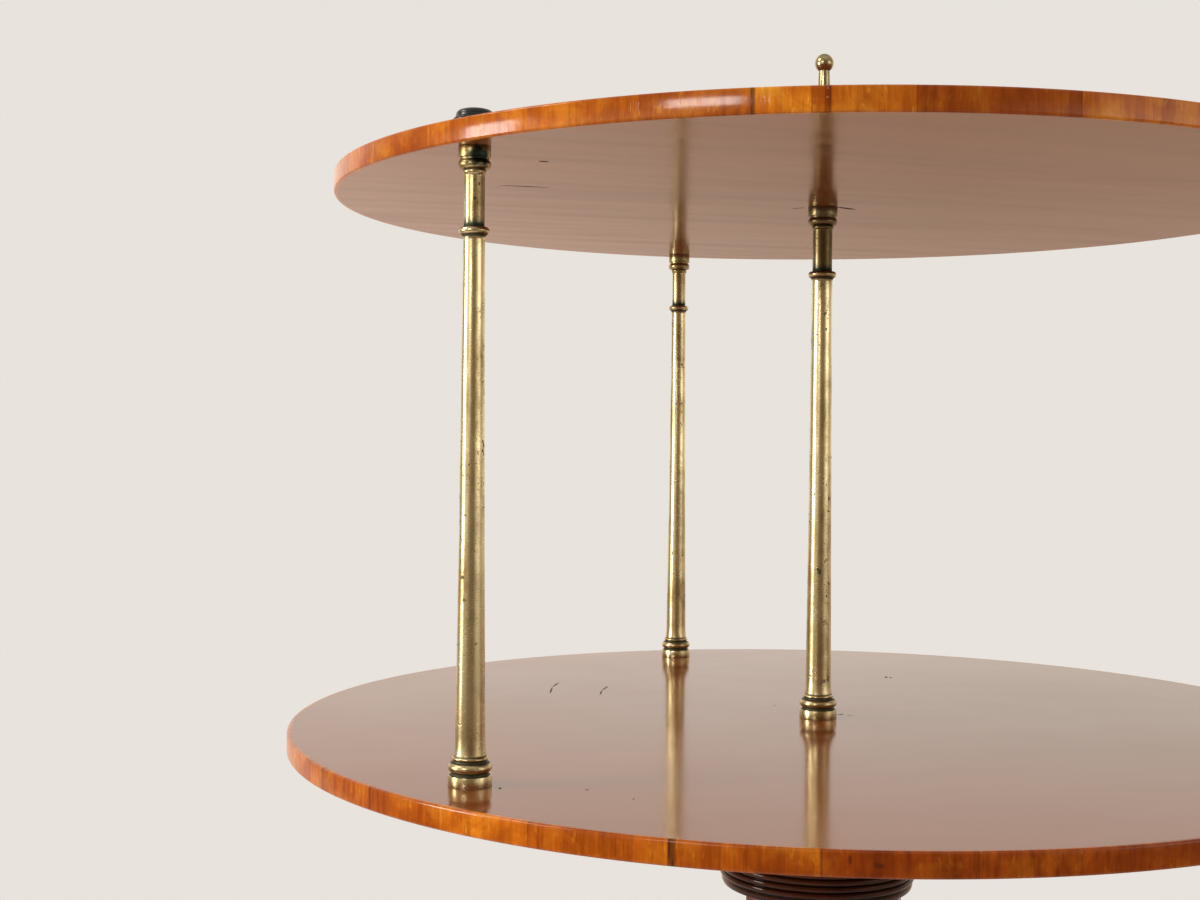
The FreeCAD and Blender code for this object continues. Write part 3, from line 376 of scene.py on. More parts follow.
# %% Scratch group
given = shader_group(
    "short scratch",
    {"Vector": (0.0, 0.0, 0.0), "Centre": (0.0, 0.0, 0.0), "Angle": 0.0, "Half Length": 0.01,
     "Half Width": 0.0003, "Wander": 0.0003},
    {"Mask": "Float"},
)
wobble = node("TexNoise", {"Vector": given["Vector"], "Scale": 140.0, "Detail": 2.0})["Color"]
shift = vector_maths("SUBTRACT", wobble, (0.5, 0.5, 0.5))
shift = node("VectorMath", {0: shift, "Scale": given["Wander"]}, operation="SCALE")[0]
near = vector_maths("SUBTRACT", vector_maths("ADD", given["Vector"], shift), given["Centre"])
turned_back = {"Vector": near, "Angle": times(given["Angle"], -1.0)}
near = node("VectorRotate", turned_back, rotation_type="Z_AXIS")[0]
along, across, _ = node("SeparateXYZ", {0: near})
along = maths("POWER", maths("DIVIDE", along, given["Half Length"]), 2.0)
across = maths("POWER", maths("DIVIDE", across, given["Half Width"]), 2.0)
inside = remap(maths("ADD", along, across), 1.0, 0.3)
short_scratch = close_group({"Mask": inside})


def scratch(place, centre, degrees, half_length, half_width, wander):
    """The mask of one mark. Its half length, half width and wander are in millimetres."""
    return use(short_scratch, {
        "Vector": place, "Centre": centre, "Angle": math.radians(degrees),
        "Half Length": half_length * MM, "Half Width": half_width * MM, "Wander": wander * MM,
    })["Mask"]


def scratches(place, marks):
    """All the marks of one surface as one mask. A mark is x, y, angle, half length, half width, wander."""
    total = 0.0
    for x, y, *shape in marks:
        total = maths("MAXIMUM", scratch(place, (x, y, 0), *shape), total)
    return total


# %% [markdown]
# Old brass keeps a soft shine where hands reach it and turns olive brown elsewhere. Its
# grooves, which the meshes below mark with a vertex attribute, darken partly with dirt and
# partly as painted shade, and small pits gather in clusters. All of it feeds colour,
# roughness and a little relief.

# %% Brass patina group
given = shader_group(
    "brass patina",
    {"Vector": (0.0, 0.0, 0.0), "Groove": 0.0, "Clean": (0.8, 0.66, 0.4, 1), "Tarnish": (0.5, 0.36, 0.16, 1),
     "Dirt And Shade": (0.036, 0.042, 0.034, 1), "Pitting": 0.5, "Wear": 0.5},
    {"Color": "Color", "Roughness": "Float", "Height": "Float"},
)
cloud = noise(scaled(given["Vector"], (1, 1, 0.45)), 75.0, 5.0, 0.62, 0.3)
patch = noise(given["Vector"], 22.0, 3.0)
fleck = noise(given["Vector"], 420.0, 2.0, 0.6)
grit = noise(given["Vector"], 1100.0, 1.0, 0.5)
tarnish = maths("ADD", remap(cloud, 0.42, 0.72), remap(fleck, 0.55, 0.75, 0, 0.2), clamp=True)
tarnish = maths("SUBTRACT", maths("ADD", tarnish, given["Wear"]), 0.5, clamp=True)
pock = noise(given["Vector"], 230.0, 2.0, 0.55)
pits = 0.0
for speck, in_speck, in_patch in (
    (pock, (0.67, 0.7), (0.42, 0.56)), (fleck, (0.67, 0.71), (0.45, 0.62)), (grit, (0.68, 0.72), (0.36, 0.6)),
):
    clustered = times(remap(speck, *in_speck), remap(patch, *in_patch))
    pits = maths("MAXIMUM", clustered, pits)
pits = times(pits, given["Pitting"])
uneven = times(maths("SUBTRACT", cloud, 0.5), 0.8)
# The grooves darken to the dark colour: partly real dirt, partly painted shade in the hollows.
groove_dirt_and_shade = maths("ADD", given["Groove"], times(uneven, given["Groove"]), clamp=True)
groove_dirt_and_shade = times(remap(groove_dirt_and_shade, 0.16, 0.6), 0.92)
colour = mix(tarnish, given["Clean"], given["Tarnish"])
colour = mix(times(pits, 0.9), colour, given["Dirt And Shade"])
colour = mix(groove_dirt_and_shade, colour, given["Dirt And Shade"])
rough = maths("ADD", remap(tarnish, 0.0, 1.0, 0.18, 0.32), times(grit, 0.06))
rough = maths("ADD", rough, times(maths("MAXIMUM", groove_dirt_and_shade, pits), 0.3), clamp=True)
height = maths("SUBTRACT", times(cloud, 0.5), pits)
brass_patina = close_group({"Color": colour, "Roughness": rough, "Height": height})

# %% [markdown]
# ## The finishes
#
# The top of a tier is mahogany under shellac, rubbed to a mirror. Seen at a low angle it shows
# more of the wall than of the wood, so its roughness matters more than its colour. Low waves
# in the old surface make the mirror images of the columns waver.

# %% Polished tier tops
TOP_MARKS = (
    (-0.1198, 0.1543, 62.8, 11.5, 0.8, 0.8),
    (-0.12825, 0.1325, 73.3, 14.5, 0.7, 0.8),
    (-0.092, 0.1335, 61.9, 9.5, 0.8, 0.8),
    (-0.0995, 0.1165, 69.8, 11.0, 0.6, 0.8),
    (0.1095, 0.139, -23, 1.1, 4.2, 0.3),
    (0.1116, 0.1363, -23, 0.9, 3.2, 0.3),
    (-0.009, 0.046, 40, 1.0, 1.0, 0.6),
    (-0.181, -0.155, 10, 1.3, 1.1, 0.6),
    (-0.1655, -0.178, 60, 1.0, 0.8, 0.6),
    (-0.2195, -0.1425, 75, 2.4, 0.9, 1.2),
    (0.018, 0.008, 20, 3.5, 1.2, 1.5),
    (0.022, 0.004, 160, 2.5, 0.8, 1.5),
)


def tier_top_material(name, marks):
    material, shader, place = new_material(name)
    grain = wood(place, (0.25, 0.062, 0.012, 1), (0.21, 0.05, 0.009, 1), 0.1, 0.1)
    colour, rough = grain["Color"], noise(place, 14.0, 3.0)
    rough = remap(rough, 0.3, 0.7, 0.11, 0.155)
    wave = noise(scaled(place, (0.7, 1, 1)), 26.0, 2.0, 0.4)
    relief = wave
    if marks:
        mask = scratches(place, marks)
        colour = mix(times(mask, 0.9), colour, (0.012, 0.008, 0.006, 1))
        rough = maths("ADD", rough, times(mask, 0.5), clamp=True)
        relief = maths("SUBTRACT", relief, times(mask, 0.3))
    feed(shader, {
        "Base Color": colour, "Roughness": rough, "IOR": 1.5, "Normal": bump(relief, 0.25, 0.0003),
    })
    return material


lower_top = tier_top_material("lower_tier_polish", TOP_MARKS)
upper_top = tier_top_material("upper_tier_polish", ())

# %% [markdown]
# The undersides were never rubbed down as hard: the grain shows as fine straight streaks with
# a satin sheen, and the columns mirror in them only as soft upright bands.

# %% Satin undersides
UNDER_MARKS = (
    (-0.1835, -0.0234, 0, 15, 1.3, 1.5),
    (-0.192, -0.1045, 14, 3.0, 1.6, 0.6),
    (0.0140, -0.0016, 24, 9.0, 1.9, 0.3),
    (-0.0125, 0.0073, 128, 4.5, 1.0, 0.4),
)
underside, shader, place = new_material("tier_underside")
grain = wood(place, (0.32, 0.095, 0.024, 1), (0.21, 0.055, 0.012, 1), 0.15, 0.1)
mask = scratches(place, UNDER_MARKS)
streak = noise(scaled(place, (4, 48, 48)), 1.0, 4.0, 0.5, 0.5)
rough = remap(streak, 0.3, 0.7, 0.12, 0.22)
feed(shader, {
    "Base Color": mix(mask, grain["Color"], (0.006, 0.003, 0.002, 1)),
    "Roughness": maths("ADD", rough, mask, clamp=True),
    "Normal": bump(maths("SUBTRACT", streak, mask), 0.07, 0.0003),
})

# %% [markdown]
# Crossbanding is cut across the grain and bent round the rim, so its streaks stand upright. A
# group unrolls the rim: height becomes X, arc length becomes Y. Each length of veneer has its
# own tone, on part of the lower rim darkened as painted shade too, and a dark glue line shows
# where two lengths meet.

# %% Unrolled rim group
given = shader_group(
    "unrolled rim", {"Vector": (0.0, 0.0, 0.0), "Radius": 0.3}, {"Vector": "Vector", "Turn": "Float"},
)
x, y, z = node("SeparateXYZ", {0: given["Vector"]})
angle = maths("ARCTAN2", x, times(y, -1.0))
length = times(angle, given["Radius"])
unrolled = node("CombineXYZ", {0: z, 1: length, 2: given["Radius"]})[0]
turn = maths("ADD", maths("DIVIDE", angle, math.tau), 0.5)
unrolled_rim = close_group({"Vector": unrolled, "Turn": turn})


def turn_at(row_degrees):
    """Where a direction of the row frame lies on the rim, as a share of a turn from the back."""
    return ((row_degrees + 90) % 360 / 360 + 0.5) % 1


# %% [markdown]
# A colour ramp is only stored in 256 steps, too coarse for a glue line on a rim two metres
# round. So each joint is a small group that compares the turn with the joint's own place. The
# joints are chained: each one passes on the tone and the glue lines that it was given.

# %% Veneer joint group
given = shader_group(
    "veneer joint",
    {"Turn": 0.0, "Place": 0.5, "Half Width": 0.001, "Darkness": 0.5, "New Tone": 0.5,
     "Tone": 0.5, "Line": 0.0},
    {"Tone": "Float", "Line": "Float"},
)
beyond = maths("GREATER_THAN", given["Turn"], given["Place"])
tone = node("Mix", {0: beyond, 2: given["Tone"], 3: given["New Tone"]})[0]
off = maths("ABSOLUTE", maths("SUBTRACT", given["Turn"], given["Place"]))
off = maths("DIVIDE", off, given["Half Width"])
line = times(remap(off, 1.0, 0.5), given["Darkness"])
veneer_joint = close_group({"Tone": tone, "Line": maths("MAXIMUM", line, given["Line"])})


# %% Crossbanded rims
def rim_material(name, radius, light, dark, joints, spots):
    """joints: row angle, width in degrees, darkness of the line, tone of the length after it."""
    material, shader, place = new_material(name)
    rim = use(unrolled_rim, {"Vector": place, "Radius": radius})
    tone, line = 1.0, 0.0
    for angle, width, darkness, new_tone in sorted(joints, key=lambda joint: turn_at(joint[0])):
        tone, line = use(veneer_joint, {
            "Turn": rim["Turn"], "Place": turn_at(angle), "Half Width": width / 720, "Darkness": darkness,
            "New Tone": new_tone, "Tone": tone, "Line": line,
        })
    wander = noise(scaled(rim["Vector"], (52, 46, 46)), 1.0, 4.0, 0.6, 0.5)
    grain = wood(rim["Vector"], light, dark, 0.5, 0.6)
    ribbon = noise(scaled(rim["Vector"], (25, 150, 150)), 1.0, 3.0, 0.55, 1.0)
    fleck = noise(scaled(rim["Vector"], (170, 420, 420)), 1.0, 2.0, 0.5, 0.3)
    colour = mix(times(remap(ribbon, 0.5, 0.7), 0.65), grain["Color"], dark)
    colour = mix(times(remap(wander, 0.5, 0.34), 0.5), colour, dark)
    bright = tuple(min(value * factor, 1) for value, factor in zip(light, (1.15, 1.7, 2.6))) + (1,)
    colour = mix(times(remap(wander, 0.5, 0.7), 0.45), colour, bright)
    bright_spots = times(remap(fleck, 0.6, 0.74), remap(wander, 0.4, 0.55))
    colour = mix(times(bright_spots, 0.6), colour, bright)
    deep = maths("POWER", tone, 1.55)
    shade = node("CombineColor", {0: tone, 1: deep, 2: deep})[0]
    colour = mix(1.0, colour, shade, "MULTIPLY")
    for position, height, half_width, half_height, spot_colour in spots:
        centre = (height, (turn_at(position) - 0.5) * math.tau * radius, radius)
        mask = scratch(rim["Vector"], centre, 0, half_height, half_width, SPOT_WANDER)
        colour = mix(times(mask, 0.7), colour, spot_colour)
    streaked = times(line, remap(grain["Height"], -0.3, 0.2, 1.0, 0.7))
    colour = mix(streaked, colour, (0.05, 0.012, 0.004, 1))
    feed(shader, {
        "Base Color": colour,
        "Roughness": remap(grain["Height"], -0.4, 0.3, 0.18, 0.09),
        "Specular IOR Level": 0.3,
        "Normal": bump(grain["Height"], 0.12, 0.0002),
    })
    return material


NAIL, STAIN, SPOT_WANDER = (0.5, 0.42, 0.36, 1), (0.08, 0.018, 0.004, 1), 2
upper_rim = rim_material(
    "upper_crossbanding", reach_of("upper_edge_band"), (0.78, 0.225, 0.013, 1), (0.34, 0.06, 0.003, 1),
    [(100, 0.25, 0.7, 1.0), (127, 0.25, 0.8, 0.84), (153, 0.2, 0.7, 1.05), (181, 0.2, 0.5, 0.8),
     (206, 0.15, 0.45, 0.96), (224, 0.12, 0.35, 0.82), (240.9, 0.55, 0.95, 1.3), (245.85, 0.15, 0.3, 0.86),
     (246.95, 0.1, 0.3, 0.6), (247.42, 0.2, 0.6, 1.05), (254.6, 0.15, 0.5, 0.7), (269, 0.2, 0.6, 1.0),
     (292, 0.2, 0.7, 0.9), (318, 0.25, 0.8, 1.04), (341, 0.2, 0.6, 0.9), (8, 0.2, 0.6, 1.05),
     (37, 0.25, 0.8, 0.92), (66, 0.2, 0.7, 1.0)],
    [(247.18, UPPER_FOOT + 0.0095, 0.35, 0.35, NAIL), (247.18, UPPER_FOOT + 0.0058, 0.35, 0.35, NAIL)],
)
# From 247.2 degrees on, right of the front, the lower rim's lengths are toned darker: partly their own tone, partly
# painted shade where less light falls.
lower_rim = rim_material(
    "lower_crossbanding", reach_of("lower_edge_band"), (0.66, 0.155, 0.007, 1), (0.24, 0.036, 0.0015, 1),
    [(96, 0.25, 0.7, 1.0), (121, 0.25, 0.8, 0.86), (148, 0.2, 0.6, 1.0), (171, 0.2, 0.6, 1.08),
     (194.8, 0.3, 0.8, 0.94), (204.4, 0.3, 0.8, 0.99), (214, 0.15, 0.4, 1.3), (223.4, 0.15, 0.5, 1.04),
     (235.8, 0.85, 0.97, 0.98), (247.2, 0.3, 0.6, 0.64), (259, 0.2, 0.5, 0.78), (281, 0.2, 0.7, 0.92),
     (309, 0.2, 0.7, 1.05), (337, 0.25, 0.8, 0.88), (4, 0.2, 0.7, 1.0), (40, 0.2, 0.6, 1.06)],
    [(251.5, LOWER_FOOT + 0.0055, 2.4, 1.5, STAIN), (249.3, LOWER_FOOT + 0.0075, 0.9, 2.2, STAIN)],
)


# %% [markdown]
# One recipe serves all the brass, with its own share of pits, wear and dirt for columns,
# finial, castors and the hidden fittings. The columns take more: the centre one's neck, under
# the upper tier, is painted brown as shade, and verdigris sits above the neck beads and in one
# green patch on the collar of the column nearest the camera.

# %% Brass finishes
# The first colour is painted shade for the centre column's neck, under the upper tier.
PAINTED_NECK_SHADE, VERDIGRIS = (0.07, 0.05, 0.026, 1), (0.028, 0.04, 0.03, 1)
VERDIGRIS_PLACE = (-0.2308, -0.1415, UPPER_FOOT - 0.005)
VERDIGRIS_REACH, VERDIGRIS_RAGGED = (0.0085, 0.0055), 0.0035
CENTRE_COLUMN_REACH = (0.05, 0.03)
# Heights on the columns, from the lower tier's top and from the upper tier's underside.
FOOT_WEAR = (LOWER_TOP, LOWER_TOP + 0.24)
NECK_TARNISH_AND_SHADE = (UPPER_FOOT - 0.05, UPPER_FOOT - 0.02)
NECK = (UPPER_FOOT - 0.040, UPPER_FOOT - 0.035)
BEAD_BAND, BEAD_TOP = (UPPER_FOOT - 0.0325, UPPER_FOOT - 0.0355), UPPER_FOOT - 0.0375


def column_stains(place, up, colour):
    """Adds painted shade on the neck of the centre column, and the verdigris of the columns."""
    off_axis = length_of(vector_maths("MULTIPLY", place, (1, 1, 0)))
    # Painted shade: the centre column's neck, under the middle of the upper tier, darkens to brown.
    painted_neck_shade = times(remap(off_axis, *CENTRE_COLUMN_REACH), remap(up, *NECK))
    colour = mix(times(painted_neck_shade, 0.6), colour, PAINTED_NECK_SHADE)
    off_patch = length_of(vector_maths("SUBTRACT", place, VERDIGRIS_PLACE))
    ragged = remap(noise(place, 240.0, 3.0, 0.6), 0.3, 0.7, 0, VERDIGRIS_RAGGED)
    patch = remap(maths("ADD", off_patch, ragged), *VERDIGRIS_REACH)
    band = times(remap(up, *BEAD_BAND), maths("GREATER_THAN", up, BEAD_TOP))
    return mix(maths("MAXIMUM", patch, times(band, 0.8)), colour, VERDIGRIS)


def brass_material(name, clean, tarnish, pitting, wear, end_wear=None):
    """end_wear is the wear at the foot of the columns, where the brass is darker. The necks take
    more still, partly as patina and partly as painted shade under the upper tier.
    """
    material, shader, place = new_material(name)
    if end_wear is not None:
        up = node("SeparateXYZ", {0: place})["Z"]
        # The necks tarnish more, partly as patina and partly as painted shade under the upper tier.
        neck = remap(up, *NECK_TARNISH_AND_SHADE, wear, end_wear + 0.28)
        wear = maths("MAXIMUM", remap(up, *FOOT_WEAR, end_wear, wear), neck)
    metal = use(brass_patina, {
        "Vector": place, "Groove": groove_depth(), "Clean": clean, "Tarnish": tarnish,
        "Pitting": pitting, "Wear": wear,
    })
    colour = metal["Color"] if end_wear is None else column_stains(place, up, metal["Color"])
    feed(shader, {
        "Base Color": colour, "Roughness": metal["Roughness"], "Metallic": 1.0,
        "Normal": bump(metal["Height"], 0.3, 0.0002),
    })
    return material


aged_brass = brass_material("aged_brass", (0.84, 0.70, 0.41, 1), (0.34, 0.245, 0.1, 1), 0.95, 0.36, 0.78)
finial_brass = brass_material("finial_brass", (0.52, 0.42, 0.23, 1), (0.24, 0.165, 0.075, 1), 0.9, 0.66)
fitting_brass = brass_material("fitting_brass", (0.62, 0.46, 0.21, 1), (0.34, 0.23, 0.09, 1), 0.7, 0.6)


# %% [markdown]
# The last finishes: black lacquer on the cap nuts, near-black polish on the reeded disc, plain
# mahogany for the stand, bright steel for the pivot and screws, and dull iron for the plate.
# Painted shade darkens the grooves of the turned wood to near black.


# %% Lacquer, stained wood, steel and iron
def plain_material(name, first, second, rough, metal, grit, relief, spread=30.0):
    """A finish with soft patches of two colours, fine grit in its roughness and a little relief."""
    material, shader, place = new_material(name)
    patch = noise(place, spread, 4.0, 0.6)
    fine = noise(place, grit, 2.0, 0.6)
    blend = maths("ADD", times(patch, 0.5), times(fine, 0.5))
    feed(shader, {
        "Base Color": mix(remap(patch, 0.35, 0.65), first, second),
        "Roughness": remap(blend, 0.35, 0.65, *rough),
        "Metallic": metal,
        "Normal": bump(fine, relief, 0.0001),
    })
    return material


black_lacquer = plain_material("black_lacquer", (0.008, 0.008, 0.01, 1), (0.018, 0.017, 0.018, 1),
                               (0.12, 0.28), 0.0, 700.0, 0.15, 160.0)
steel = plain_material("steel", (0.55, 0.54, 0.52, 1), (0.42, 0.40, 0.37, 1), (0.22, 0.4), 1.0, 900.0, 0.1)
wrought_iron = plain_material("wrought_iron", (0.045, 0.042, 0.04, 1), (0.09, 0.06, 0.045, 1),
                              (0.45, 0.7), 0.7, 420.0, 0.5)


# Painted shade: the near black that grooves in turned wood darken to.
PAINTED_GROOVE_SHADE = (0.004, 0.002, 0.0015, 1)


def mahogany_material(name, light, dark, turns, rough, specular=0.5):
    """Polished mahogany whose grain runs along X once the coordinates are turned by these angles."""
    material, shader, place = new_material(name)
    turns = tuple(math.radians(angle) for angle in turns)
    turned_place = node("Mapping", {"Vector": place, "Rotation": turns})[0]
    grain = wood(turned_place, light, dark, 0.4, 0.6)
    low, high = rough
    feed(shader, {
        "Base Color": mix(times(groove_depth(), 0.9), grain["Color"], PAINTED_GROOVE_SHADE),
        "Roughness": remap(grain["Height"], -0.4, 0.3, high, low),
        "Specular IOR Level": specular,
        "Normal": bump(grain["Height"], 0.15, 0.0002),
    })
    return material


RED_LIGHT, RED_DARK = (0.29, 0.085, 0.022, 1), (0.095, 0.022, 0.006, 1)
pedestal_wood = mahogany_material("pedestal_mahogany", RED_LIGHT, RED_DARK, (0, 90, 0), (0.16, 0.3))
boss_wood = mahogany_material("boss_mahogany", RED_LIGHT, RED_DARK, (0, 0, 20), (0.18, 0.32))
capital_wood = mahogany_material("ebonised_mahogany", (0.105, 0.024, 0.008, 1), (0.024, 0.006, 0.003, 1),
                                 (0, 0, 35), (0.05, 0.1), 0.2)

# %% [markdown]
# ## Tools for modelling
#
# Most of this stand was turned on a lathe, and the same idea builds it here: half an outline
# is drawn by extruding one point again and again, and the Spin tool turns it about the axis.
# Curved runs of an outline are given by how far they bow out from the straight line.


# %% Outlines with curved runs
def outline_points(outline, pieces=8):
    """Points of an outline of (radius, height) corners. A third number bows the run that ends
    there: how far its middle stands out, as a share of its length, or in where it is negative."""
    points = []
    for corner in outline:
        if len(corner) == 3 and corner[2]:
            start, end, bow = points[-1], corner[:2], corner[2]
            run, climb = end[0] - start[0], end[1] - start[1]
            half = 2 * math.atan(2 * abs(bow))
            for step in range(1, pieces):
                swing = half * (2 * step / pieces - 1)
                share = 0.5 + math.sin(swing) / (2 * math.sin(half))
                rise = math.copysign((math.cos(swing) - math.cos(half)) / (2 * math.sin(half)), bow)
                points.append((start[0] + run * share + climb * rise, start[1] + climb * share - run * rise))
        points.append(corner[:2])
    return points


# %% Start, turn, soften and finish a piece
def pick(*pieces):
    """Selects these pieces alone, and makes the last one active."""
    bpy.ops.object.select_all(action="DESELECT")
    for piece in pieces:
        piece.select_set(True)
        bpy.context.view_layer.objects.active = piece


def begin(name):
    """Names the object that an operator has just made, and moves its place into its mesh."""
    piece = bpy.context.active_object
    piece.name = piece.data.name = name
    bpy.ops.object.transform_apply(location=True, rotation=True, scale=True)
    return piece


def edit():
    """Enters Edit Mode with the whole mesh selected."""
    bpy.ops.object.mode_set(mode="EDIT")
    bpy.ops.mesh.select_all(action="SELECT")


def close():
    """Merges doubled points, turns every face outwards, and leaves Edit Mode."""
    bpy.ops.mesh.select_all(action="SELECT")
    bpy.ops.mesh.remove_doubles(threshold=0.000002)
    bpy.ops.mesh.normals_make_consistent(inside=False)
    bpy.ops.object.mode_set(mode="OBJECT")


def extrude(step):
    bpy.ops.mesh.extrude_region_move(TRANSFORM_OT_translate={"value": step})


def drawn(name, points):
    """Draws a line through points by extruding a single one, and stays in Edit Mode."""
    pick()
    bpy.ops.mesh.primitive_plane_add(size=0.01, location=(0, 0, 0))
    piece = begin(name)
    edit()
    bpy.ops.mesh.merge(type="CENTER")
    bpy.ops.transform.translate(value=points[0])
    for start, end in zip(points, points[1:]):
        extrude(tuple(there - here for here, there in zip(start, end)))
    return piece


def turned(name, outline, steps=96, pieces=8):
    """Turns half an outline, in millimetres, about the upright axis, with its height 0 at z 0."""
    piece = drawn(name, [(radius * MM, 0, height * MM) for radius, height in outline_points(outline, pieces)])
    bpy.ops.mesh.select_all(action="SELECT")
    bpy.ops.mesh.spin(steps=steps, angle=math.tau, center=(0, 0, 0), axis=(0, 0, 1))
    close()
    return piece


def apply_modifier(piece, kind, **settings):
    bpy.context.view_layer.objects.active = piece
    modifier = piece.modifiers.new(kind.title(), kind)
    for name, value in settings.items():
        setattr(modifier, name, value)
    bpy.ops.object.modifier_apply(modifier=modifier.name)


def soften(piece, width, degrees=40, segments=2):
    """Rounds the crisp edges by this many millimetres."""
    apply_modifier(piece, "BEVEL", width=width * MM, segments=segments, limit_method="ANGLE",
                   angle_limit=math.radians(degrees), harden_normals=False)


def cut(piece, cutter):
    """Cuts one piece's shape out of another, and throws the cutter away."""
    apply_modifier(piece, "BOOLEAN", object=cutter, operation="DIFFERENCE", solver="EXACT")
    bpy.data.objects.remove(cutter)


def smooth(piece, degrees=32):
    """Shades a piece smooth but for edges sharper than this."""
    pick(piece)
    bpy.ops.object.shade_smooth_by_angle(angle=math.radians(degrees))


def shift(piece, offset):
    """Moves a piece's mesh, so that its object stays at the origin."""
    pick(piece)
    bpy.ops.transform.translate(value=offset)
    bpy.ops.object.transform_apply(location=True, rotation=True, scale=True)


def copied(piece, name):
    """A copy with its own mesh."""
    pick(piece)
    bpy.ops.object.duplicate(linked=False)
    return begin(name)


def dress(piece, material, body, slot, *nodes):
    """Gives a finished piece its material, the body it rides on and the nodes it stands for."""
    if material:
        piece.data.materials.clear()
        piece.data.materials.append(material)
    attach(piece, body)
    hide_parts(*nodes)
    triangles = sum(len(face.vertices) - 2 for face in piece.data.polygons)
    print(piece.name, "on", body, "for", ", ".join(nodes), triangles, "triangles")


def mark_grooves(piece, axis, depth=1.5, window=1.1, fainter_above=math.inf):
    """Writes how deep each point lies below its neighbours up and down, as the groove attribute,
    which the finishes darken partly as painted shade. Above one height, in millimetres, the
    grooves are marked at about a third of their depth, so they darken less."""
    rows = {}
    measured = []
    for vertex in piece.data.vertices:
        radius = math.hypot(vertex.co.x - axis[0], vertex.co.y - axis[1]) / MM
        height = round(vertex.co.z / MM, 1)
        rows[height] = max(rows.get(height, 0), radius)
        measured.append((radius, height))
    around = {
        height: max(radius for other, radius in rows.items() if abs(other - height) <= window)
        for height in rows
    }
    attribute = piece.data.attributes.new("groove", "FLOAT", "POINT")
    for index, (radius, height) in enumerate(measured):
        share = 0.35 if height > fainter_above else 1
        attribute.data[index].value = min((around[height] - radius) / depth, 1) * share


# %% [markdown]
# ## The columns
#
# Each column is one brass turning: a collar, a dark groove, a bold bead and a thin ring at the
# foot, a long swelling shaft, a bead below the plain neck, and a bead and collar at the top.
# One function writes the outline, so the outer columns and the stouter centre one differ only
# in their radii. The long shaft is cut into short runs, so that its shading stays even.

# %% Outline of a column
TIER_GAP = (UPPER_FOOT - LOWER_TOP) / MM
BEDDING = 0.3
SHAFT_FOOT, SHAFT_HEAD, NECK_GROOVES = 25.2, 43.4, 14
COLUMN_RADII = {
    "outer": dict(collar=10.3, groove=8.8, quirk=7.9, foot=7.6, low=7.0, mid=6.0, top=5.05,
                  fillet=5.8, neck=4.85, upper_groove=6.8, upper_collar=7.6, spigot=4.0),
    "centre": dict(collar=10.7, groove=9.2, quirk=8.0, foot=7.9, low=7.3, mid=6.6, top=5.9,
                   fillet=6.7, neck=5.65, upper_groove=7.5, upper_collar=8.5, spigot=4.5),
}


def even_run(outline, radius, height, runs):
    """Adds a straight run in equal parts."""
    from_radius, from_height = outline[-1][:2]
    for step in range(1, runs + 1):
        share = step / runs
        outline.append((from_radius + (radius - from_radius) * share, from_height + (height - from_height) * share))


def column_outline(below, above, collar, groove, quirk, foot, low, mid, top, fillet, neck,
                   upper_groove, upper_collar, spigot):
    """Half the outline of a column with these radii, from the foot up. Its spigots reach below
    and above the tiers' inner faces."""
    gap, shaft_top = TIER_GAP, TIER_GAP - SHAFT_HEAD
    outline = [
        (0, -below), (spigot, -below), (spigot, -BEDDING), (collar, -BEDDING), (collar, 5.4),
        (groove, 5.4), (groove, 6.8), (groove, 11.4, 0.33), (quirk, 11.4), (quirk, 12.2),
        (foot, 12.2), (foot, 14.2, 0.44), (low, SHAFT_FOOT, -0.021),
    ]
    even_run(outline, mid, SHAFT_FOOT + (shaft_top - SHAFT_FOOT) * 0.37, 6)
    even_run(outline, top, shaft_top, 10)
    outline += [
        (fillet, gap - 41.0, -0.065), (fillet, gap - 37.4, 0.4),
        (neck, gap - 37.4), (neck, gap - 36.4), (neck, gap - 35.0), (neck, gap - 25.3),
        (neck, gap - 14.4), (neck, gap - 13.2), (neck, gap - 10.4, 0.25),
        (upper_groove, gap - 10.4), (upper_groove, gap - 6.4, 0.23), (upper_groove, gap - 5.3),
        (upper_collar, gap - 5.3), (upper_collar, gap),
        (spigot, gap), (spigot, gap + above), (0, gap + above),
    ]
    return outline


# %% Turn the four columns
def column_for(node, kind):
    """Turns a column as long as its node, spigots and all, and sets it in the node's place."""
    low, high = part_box(node)
    below, above = (LOWER_TOP - low.z) / MM, (high.z - UPPER_FOOT) / MM
    column = turned(f"turned_{node}", column_outline(below, above, **COLUMN_RADII[kind]))
    soften(column, 0.28)
    smooth(column)
    place = middle_of(node)
    shift(column, (*place, LOWER_TOP))
    # The groove attribute darkens the column's grooves, partly as dirt and partly as painted shade, fainter near
    # the neck.
    mark_grooves(column, place, fainter_above=UPPER_FOOT / MM - NECK_GROOVES)
    dress(column, aged_brass, "stage", "aged_brass", node)


for station in STATIONS:
    column_for(f"outer_column_{station}", "outer")
column_for("centre_column", "centre")

# %% [markdown]
# ## Cap nuts and finial
#
# A low black dome screws down on each outer column. The centre column carries a small finial:
# a beaded foot, a stem that tapers all the way up, and a ball to lift the stand by. Both are
# hollow underneath, where the spigots go in.

# %% Turn the cap nuts
CAP_FOOT, CAP_BORE = 9.4, 4.05
CAP_OUTLINE = [
    (CAP_BORE, -BEDDING), (CAP_FOOT, -BEDDING), (CAP_FOOT, 0.1), (10.2, 0.1), (10.2, 1.5), (9.2, 2.1),
    (8.9, 3.2, 0.04), (6.9, 5.7, 0.17), (0, 6.7, 0.05), (0, 4.6), (CAP_BORE, 4.6), (CAP_BORE, -BEDDING),
]
first_cap = turned("domed_cap_1", CAP_OUTLINE, 72, 12)
soften(first_cap, 0.35)
smooth(first_cap)
caps = [first_cap, copied(first_cap, "domed_cap_2"), copied(first_cap, "domed_cap_3")]
for station, cap, place in zip(STATIONS, caps, COLUMN_PLACES):
    shift(cap, (*place, UPPER_TOP))
    dress(cap, black_lacquer, "stage", "black_lacquer", f"column_cap_{station}")

